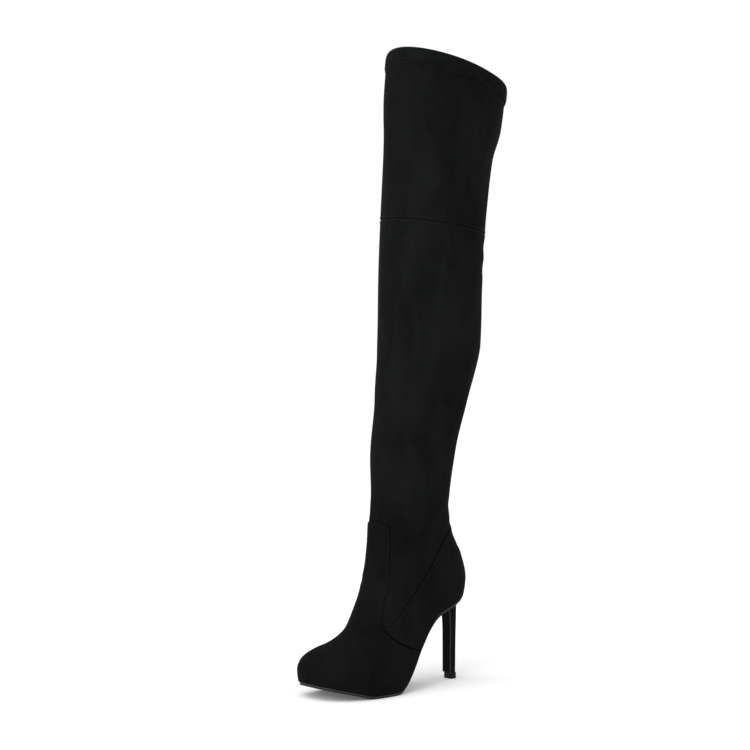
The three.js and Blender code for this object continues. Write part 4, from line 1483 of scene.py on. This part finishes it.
@dataclass
class Sole:
    """The thin outsole with a ribbed tread and a bead along its upper edge, coloured lighter as a painted
    highlight.
    """

    form: Form
    finishes: Finishes
    edge_round: float = 0.6 * MM
    bead: float = 1.3 * MM
    bead_out: float = 0.45 * MM
    end_round: float = 2 * MM
    columns: int = 36

    def profile(self) -> list[tuple[float, float, float]]:
        """Half section from under the middle round the edge to above the middle.

        Returns:
            Rows of share of the half width, distance back from the edge and height above the underside.
        """
        r, thick = self.edge_round, self.form.last.outsole
        under = np.linspace(0, 1, self.columns // 2)[:-1]
        corner = np.linspace(0, math.pi / 2, 5)
        round_bead = np.linspace(-math.pi / 2, math.pi / 2, 9)
        rows = [(share, 0.0, 0.0) for share in under]
        rows += [(1.0, r - r * math.sin(a), r - r * math.cos(a)) for a in corner[1:]]
        rows.append((1.0, 0.0, thick - self.bead - 0.15 * MM))
        middle = thick - self.bead / 2
        half = self.bead / 2
        rows += [(1.0, -self.bead_out * math.cos(a) ** 0.7, middle + half * math.sin(a)) for a in round_bead]
        return rows + [(share, 0.0, thick) for share in under[::-1]]

    def build(self) -> None:
        """Makes the outsole from the form's own outline at the sole."""
        form, last = self.form, self.form.last
        stops = (form.at("bulge"), form.at("seatEdge", 0.6), form.at("toeEnd"), form.tip)
        rows = walk(stops, (0.5 * MM, 2 * MM, 0.4 * MM))
        cut = form.cut(rows, last.outsole)
        rows, cut = rows[cut < 0.999], cut[cut < 0.999]
        outer, inner = form.surface(rows, cut), form.surface(rows, -cut)
        middle = (outer + inner) / 2
        half = np.maximum((outer[:, 0] - inner[:, 0]) / 2 - last.sole_inset, 0.2 * MM)
        fore = -middle[:, 1]
        inset = np.clip(np.minimum(fore - fore[0], fore[-1] - fore) / self.end_round, 0, 1)
        half = half * (0.4 + 0.6 * np.sqrt(inset * (2 - inset)))
        points = []
        for share, back, above in self.profile():
            away, z = form.beside_sole(fore, above)
            away_from_edge = back if share == 1.0 else self.edge_round
            across = share * np.maximum(half - away_from_edge, 0)
            points.append(np.stack([across, -away, z], axis=1))
        right = np.array(points).transpose(1, 0, 2)
        left = right[:, ::-1][:, 1:-1].copy()
        left[..., 0] *= -1
        ring = np.concatenate([right, left], axis=1)
        ring[..., 0] += middle[:, None, 0]
        closed = np.concatenate([ring, ring[:, :1]], axis=1)
        caps = [np.broadcast_to(row.mean(axis=0), (1, *row.shape)) for row in (closed[0], closed[-1])]
        closed = np.concatenate([caps[0], closed, caps[1]])
        faces = grid_faces(*closed.shape[:2])
        thing = make_mesh("outsole_plate", closed, faces, self.finishes.rubber, FINE_WELD)
        # The top bead's faces get the lighter finish, a painted highlight along the sole's edge; the
        # underside gets the tread.
        for material in (self.finishes.tread, self.finishes.edge):
            thing.data.materials.append(material)
        for polygon in thing.data.polygons:
            above = float(form.above_sole(np.array(polygon.center)))
            if above < 0.1 * MM and abs(polygon.normal.z) > 0.5:
                polygon.material_index = 1
            elif above > last.outsole - self.bead:
                polygon.material_index = 2
        place_piece(thing, Slot.SOLE, stands_for=["outsole"])


def make_tube(name: str, path: Array, radius: float, material: Material) -> Thing:
    """Makes a round bead along an upright path, closed at both ends.

    Args:
        name: Name of the piece.
        path: Points of its middle.
        radius: Its radius.
        material: Its finish.

    Returns:
        The bead.
    """
    turn = 2 * math.pi * np.arange(9) / 8
    circle = np.stack([np.cos(turn), np.sin(turn), np.zeros(9)], axis=1) * radius
    rings = path[:, None] + circle[None]
    caps = [np.broadcast_to(path[i], (1, *rings.shape[1:])) for i in (0, -1)]
    points = np.concatenate([caps[0], rings, caps[1]])
    return make_mesh(name, points, grid_faces(*points.shape[:2])[:, ::-1], material, FINE_WELD)


@dataclass
class Heel:
    """The covered stem with its cup, breast corner beads lighter as a painted highlight, and the hard tip.
    """

    form: Form
    finishes: Finishes
    stem_width: float = 15.2 * MM
    flare: float = 12 * MM
    back_square: float = 2.2
    breast_square: float = 7.0
    tip_height: float = 7 * MM
    bead: float = 0.5 * MM
    around: int = 96
    rings: int = 70
    cup_rings: int = 35

    def ring(self, sizes: Sequence[float], turn: Array) -> Array:
        """Points of a level of the heel.

        Args:
            sizes: level, below, up, back, breast and half, as in HEEL_ROWS.
            turn: Directions round the stem, 0 at the back.

        Returns:
            A point for each direction.
        """
        level, below, up, back, breast, half = sizes
        form, last = self.form, self.form.last
        square = np.where(np.cos(turn) < 0, self.breast_square, self.back_square)
        along = np.sign(np.cos(turn)) * np.abs(np.cos(turn)) ** (2 / square)
        across = -np.sign(np.sin(turn)) * np.abs(np.sin(turn)) ** (2 / square)
        fore = last.foot_length * (back + (breast - back) * (1 - along) / 2)
        seat = form.beside_sole(fore, -last.gap - below * self.flare)[1]
        flat = self.tip_height + last.gap + up * (last.heel_height - self.tip_height - last.gap)
        return np.stack([across * half * self.stem_width / 2, -fore, seat + (flat - seat) * level], axis=1)

    def build(self) -> None:
        """Makes the covered heel and its edge beads, lighter as a painted highlight, and dresses the tip."""
        rows = np.array(HEEL_ROWS)
        steps = np.diff(rows[:, 1]) * self.flare - np.diff(rows[:, 2]) * self.form.last.heel_height
        place = running(steps)
        curves = [through_values(place, column) for column in rows.T]
        cup = np.linspace(0, place[4], self.cup_rings + 1)[:-1]
        stops = np.concatenate([cup, np.linspace(place[4], place[-1], self.rings - self.cup_rings)])
        sizes = [[float(curve(stop)) for curve in curves] for stop in stops]
        turn = 2 * math.pi * (np.arange(self.around) + 0.5) / self.around
        points = np.array([self.ring(size, np.append(turn, turn[0])) for size in sizes])
        caps = [np.broadcast_to(points[i].mean(axis=0), (1, *points.shape[1:])) for i in (0, -1)]
        points = np.concatenate([caps[0], points, caps[1]])
        faces = grid_faces(*points.shape[:2])[:, ::-1]
        thing = make_mesh("covered_heel", points, faces, self.finishes.cover, FINE_WELD)
        place_piece(thing, Slot.SUEDE, stands_for=["heel"])
        # Beads on the breast corners in the lighter finish: a painted highlight of the corners.
        for name, corner in (("heel_highlight_bead_outer", 1.25 * math.pi), ("heel_highlight_bead_inner", 0.75 * math.pi)):
            path = np.array([self.ring(size, np.array([corner]))[0] for size in sizes[12:]])
            place_piece(make_tube(name, path, self.bead, self.finishes.edge), Slot.SUEDE)
        dress_node(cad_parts["heel_tip"], self.finishes.tip, bevel=0.5 * MM)


def dress_node(node: Thing, material: Material, bevel: float = 0.0) -> None:
    """Gives a CAD node a finish.

    Args:
        node: The node.
        material: Its finish.
        bevel: Width of a bevel on its sharp edges, 0 for none.
    """
    node.data.materials.clear()
    node.data.materials.append(material)
    if bevel > 0:
        modifier = node.modifiers.new("edge", "BEVEL")
        modifier.width = bevel
        modifier.segments = 3
        modifier.limit_method = "ANGLE"
        modifier.angle_limit = math.radians(35)
    LOG.info("%s: dressed", node.name)


@dataclass
class Zip:
    """The zip on the inner side: two facings, the tape and its coil, the slider and the pull."""

    form: Form
    drape: Drape
    finishes: Finishes
    tooth_pitch: float = 1.5 * MM
    tooth: tuple[float, float, float] = (2.1 * MM, 0.8 * MM, 0.8 * MM)
    tooth_shift: float = 0.32
    tape_out: float = 0.12 * MM
    row_apart: float = 6.4 * MM
    row_out: float = 0.55 * MM
    end_dive: float = 0.9 * MM
    tape_half: float = 3.2 * MM
    facing_at: tuple[float, ...] = (-8.5, -8.2, -7.6, -6.6, -5.4, -4.2, -3.5, -3.1, -3.0, -3.1)
    facing_out: tuple[float, ...] = (-0.3, 0.25, 0.5, 0.42, 0.62, 0.85, 0.9, 0.7, 0.35, 0.05)

    def line(self, count: int, margin: float = 0.0) -> tuple[Array, Array]:
        """Middle of the zip as arrays of down and side."""
        curve, start, end = self.form.edge(ZIP_LINE)
        down = np.linspace(start + margin, end - margin, count)
        return down, curve(down)

    def strip(
        self, name: str, offsets: Array, heights: Array, material: Material, slot: Slot, margin: float = 0.0
    ) -> Thing:
        """Makes a strip along the zip.

        Args:
            name: Name of the piece.
            offsets: Places of its section across the zip.
            heights: Heights of its section over the boot.
            material: Its finish.
            slot: Material slot, handed on to place_piece.
            margin: How far it ends before the zip's ends.

        Returns:
            The piece.
        """
        down, middle = self.line(240, margin)
        girth = self.form.half_girth(down)
        side = middle[:, None] + offsets[None, :] / girth[:, None]
        ends = np.minimum(down - down[0], down[-1] - down)[:, None]
        out = heights[None, :] - self.end_dive * np.exp(-ends / (0.5 * MM))
        points = self.form.beside(down, side, self.drape.lift(down, side) + out)
        faces = grid_faces(*side.shape)[:, ::-1]
        return place_piece(make_mesh(name, points, faces, material), slot)

    def build(self) -> None:
        """Makes every piece of the zip."""
        at, height = np.array(self.facing_at) * MM, np.array(self.facing_out) * MM
        self.strip("zip_facing_front", at, height, self.finishes.suede, Slot.SUEDE)
        self.strip("zip_facing_back", -at[::-1], height[::-1], self.finishes.suede, Slot.SUEDE)
        flat = np.linspace(-self.tape_half, self.tape_half, 9)
        level = np.full(len(flat), self.tape_out)
        tape = self.strip("zip_tape", flat, level, self.finishes.tape, Slot.LINING, 0.3 * MM)
        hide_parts("zip_chain")
        self.build_coil()
        for name, way in (("zip_stitches_front", -1), ("zip_stitches_back", 1)):
            down, middle = self.line(260, 2 * MM)
            side = middle + way * self.row_apart / self.form.half_girth(down)
            lift = self.drape.lift(down, side) + self.row_out
            Stitching().sew(name, self.form, down, side, lift, self.finishes.thread)
        dress_node(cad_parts["zip_slider"], self.finishes.metal, bevel=0.45 * MM)
        dress_node(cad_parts["zip_pull"], self.finishes.metal, bevel=0.25 * MM)

    def build_coil(self) -> None:
        """Makes the two rows of interlocked teeth."""
        down, middle = self.line(400, 1.0 * MM)
        line = self.form.beside(down, middle, self.drape.lift(down, middle))
        normal = self.form.normals(down, middle)
        run = running(line_steps(line))
        kit = bmesh.new()
        length, width, thick = self.tooth
        for k in range(int(run[-1] / self.tooth_pitch * 2)):
            goal = np.array([(k + 0.5) * self.tooth_pitch / 2])
            centre = Vector(along_line(run, line, goal)[0])
            ahead = Vector(along_line(run, line, goal + MM)[0]) - centre
            up = Vector(along_line(run, normal, goal)[0]).normalized()
            beside = up.cross(ahead).normalized()
            ahead = beside.cross(up)
            way = 1 if k % 2 else -1
            place = centre + beside * (way * length * self.tooth_shift) + up * (self.tape_out + thick / 2)
            turn = Matrix((beside, ahead, up)).transposed().to_4x4()
            shape = Matrix.Translation(place) @ turn @ Matrix.Diagonal((length, width, thick, 1))
            bmesh.ops.create_uvsphere(kit, u_segments=8, v_segments=5, radius=0.5, matrix=shape)
        mesh = bpy.data.meshes.new("zip_coil")
        kit.to_mesh(mesh)
        kit.free()
        place_piece(smooth_object("zip_coil", mesh, self.finishes.metal), Slot.ZIP_METAL)


# Studio

@dataclass(frozen=True)
class Studio:
    """Camera, floor and lights, as in the photograph.

    Attributes:
        azimuth: Direction of the camera round the boot, in degrees.
        distance: Level distance of the camera from the heel tip.
        height: Height of the camera.
        pitch: How far it looks down, in degrees.
        focal: Focal length in pixels of a 750 pixel frame.
        axis: Pixel that the camera looks at.
        frame_size: Side of the frame in pixels.
        floor_half: Half width of the floor.
        white: Colour of the surroundings.
        ambient: How strongly the surroundings light the boot.
        shown: How bright they look to the camera.
        glow: How strongly the floor shines by itself.
        aim: Point that the lights are turned to.
    """

    azimuth: float = 48.5
    distance: float = 2.450
    height: float = 0.458
    pitch: float = 2.9
    focal: float = 2120.0
    axis: tuple[float, float] = (450.0, 391.5)
    frame_size: float = 750.0
    floor_half: float = 9.0
    white: tuple[float, float, float, float] = (1.0, 1.0, 1.0, 1.0)
    ambient: float = 0.6
    shown: float = 1.02
    glow: float = 0.1
    aim: Place = (0.0, -0.04, 0.47)

    def camera(self) -> None:
        """Makes the camera and hands it to the scene."""
        turn, pitch = math.radians(self.azimuth), math.radians(self.pitch)
        data = bpy.data.cameras.new("camera")
        data.sensor_width = 36
        data.lens = self.focal / self.frame_size * data.sensor_width
        middle = self.frame_size / 2
        data.shift_x = (middle - self.axis[0]) / self.frame_size
        data.shift_y = (self.axis[1] - middle) / self.frame_size
        thing = add_object("camera", data)
        thing.location = (math.sin(turn) * self.distance, -math.cos(turn) * self.distance, self.height)
        level = math.cos(pitch)
        ahead = Vector((-math.sin(turn) * level, math.cos(turn) * level, -math.sin(pitch)))
        thing.rotation_euler = ahead.to_track_quat("-Z", "Y").to_euler()
        bpy.context.scene.camera = thing

    def floor(self) -> None:
        """Makes the plain white floor, lit a little from below."""
        points = np.array([(-1, -1, 0), (1, -1, 0), (1, 1, 0), (-1, 1, 0)], float) * self.floor_half
        material, tree, shader = new_material("floor_paper", {
            "Roughness": 0.85, "Specular IOR Level": 0.1, "Emission Color": self.white,
            "Emission Strength": self.glow,
        })
        wear = add_node(tree, "ShaderNodeGroup", {"Scale": 120.0, "Amount": 0.05}, node_tree=wear_group())
        white = mix_colors(tree, wear.outputs["Scuff"], (0.96, 0.96, 0.96), (0.95, 0.95, 0.95))
        feed(tree, shader, {"Base Color": white})
        make_mesh("floor", points, np.array([[0, 1, 2, 3]]), material)

    def light(self, name: str, place: Place, size: float, power: float, spread: float) -> None:
        """Makes a soft light, placed as seen from the camera and aimed at the knee.

        Args:
            name: Name of the light.
            place: Place to the right of the boot, towards the camera and over the floor.
            size: Side of its square face.
            power: Power in watts.
            spread: How wide it shines, in degrees.
        """
        data = bpy.data.lights.new(name, "AREA")
        data.size = size
        data.energy = power
        data.spread = math.radians(spread)
        self.hang(data, place, self.aim)

    def sky(self, place: Place, strength: float, width: float) -> None:
        """Makes the wide even light from above.

        Args:
            place: Where it comes from, as in light.
            strength: Strength of the light.
            width: Angle that it fills, in degrees.
        """
        data = bpy.data.lights.new("sky", "SUN")
        data.energy = strength
        data.angle = math.radians(width)
        self.hang(data, place, (0.0, 0.0, 0.0))

    def hang(self, data: bpy.types.Light, place: Place, aim: Place) -> None:
        """Hangs a light up and turns it to a point of the scene.

        Args:
            data: The light.
            place: Its place, as in light.
            aim: The point.
        """
        turn = math.radians(self.azimuth)
        right = Vector((math.cos(turn), math.sin(turn), 0))
        near = Vector((math.sin(turn), -math.cos(turn), 0))
        thing = add_object(data.name, data)
        thing.location = right * place[0] + near * place[1] + Vector((0, 0, place[2]))
        thing.rotation_euler = (Vector(aim) - thing.location).to_track_quat("-Z", "Y").to_euler()

    def surroundings(self) -> None:
        """Makes the white surroundings, which light the boot a little less than they show."""
        world = bpy.data.worlds.new("studio")
        world.use_nodes = True
        tree = world.node_tree
        seen = add_node(tree, "ShaderNodeLightPath").outputs["Is Camera Ray"]
        strength = map_range(tree, seen, goal=(self.ambient, self.shown))
        feed(tree, tree.nodes["Background"], {"Color": self.white, "Strength": strength})
        bpy.context.scene.world = world

    def build(self) -> None:
        """Makes the camera, the floor, the lights and the white surroundings."""
        self.camera()
        self.floor()
        self.sky((-0.5, 0.5, 1.0), strength=1.8, width=70.0)
        self.light("key", (-0.9, 1.7, 1.0), size=0.6, power=1.1, spread=26.0)
        self.light("fill", (1.5, 1.1, 0.9), size=1.0, power=1.0, spread=70.0)
        self.surroundings()
        bpy.context.scene.view_settings.view_transform = "Standard"


def main() -> None:
    """Builds the studio and every sub-assembly of the boot, in order."""
    logging.basicConfig(level=logging.INFO, format="%(name)s: %(message)s")
    Studio().build()
    form = Form(Last())
    drape = Drape(form)
    finishes = Finishes.build()
    upper = Upper(form, drape, finishes)
    upper.build_body()
    upper.build_seams()
    panels = Panel(form, drape, finishes)
    panels.build_vamp()
    panels.build_counter()
    leg = LegTop(form, drape, finishes)
    leg.build_thigh()
    leg.build_band()
    leg.build_lining()
    Sole(form, finishes).build()
    Heel(form, finishes).build()
    Zip(form, drape, finishes).build()
    dress_node(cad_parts["insole"], finishes.lining)


if __name__ == "__main__":
    main()
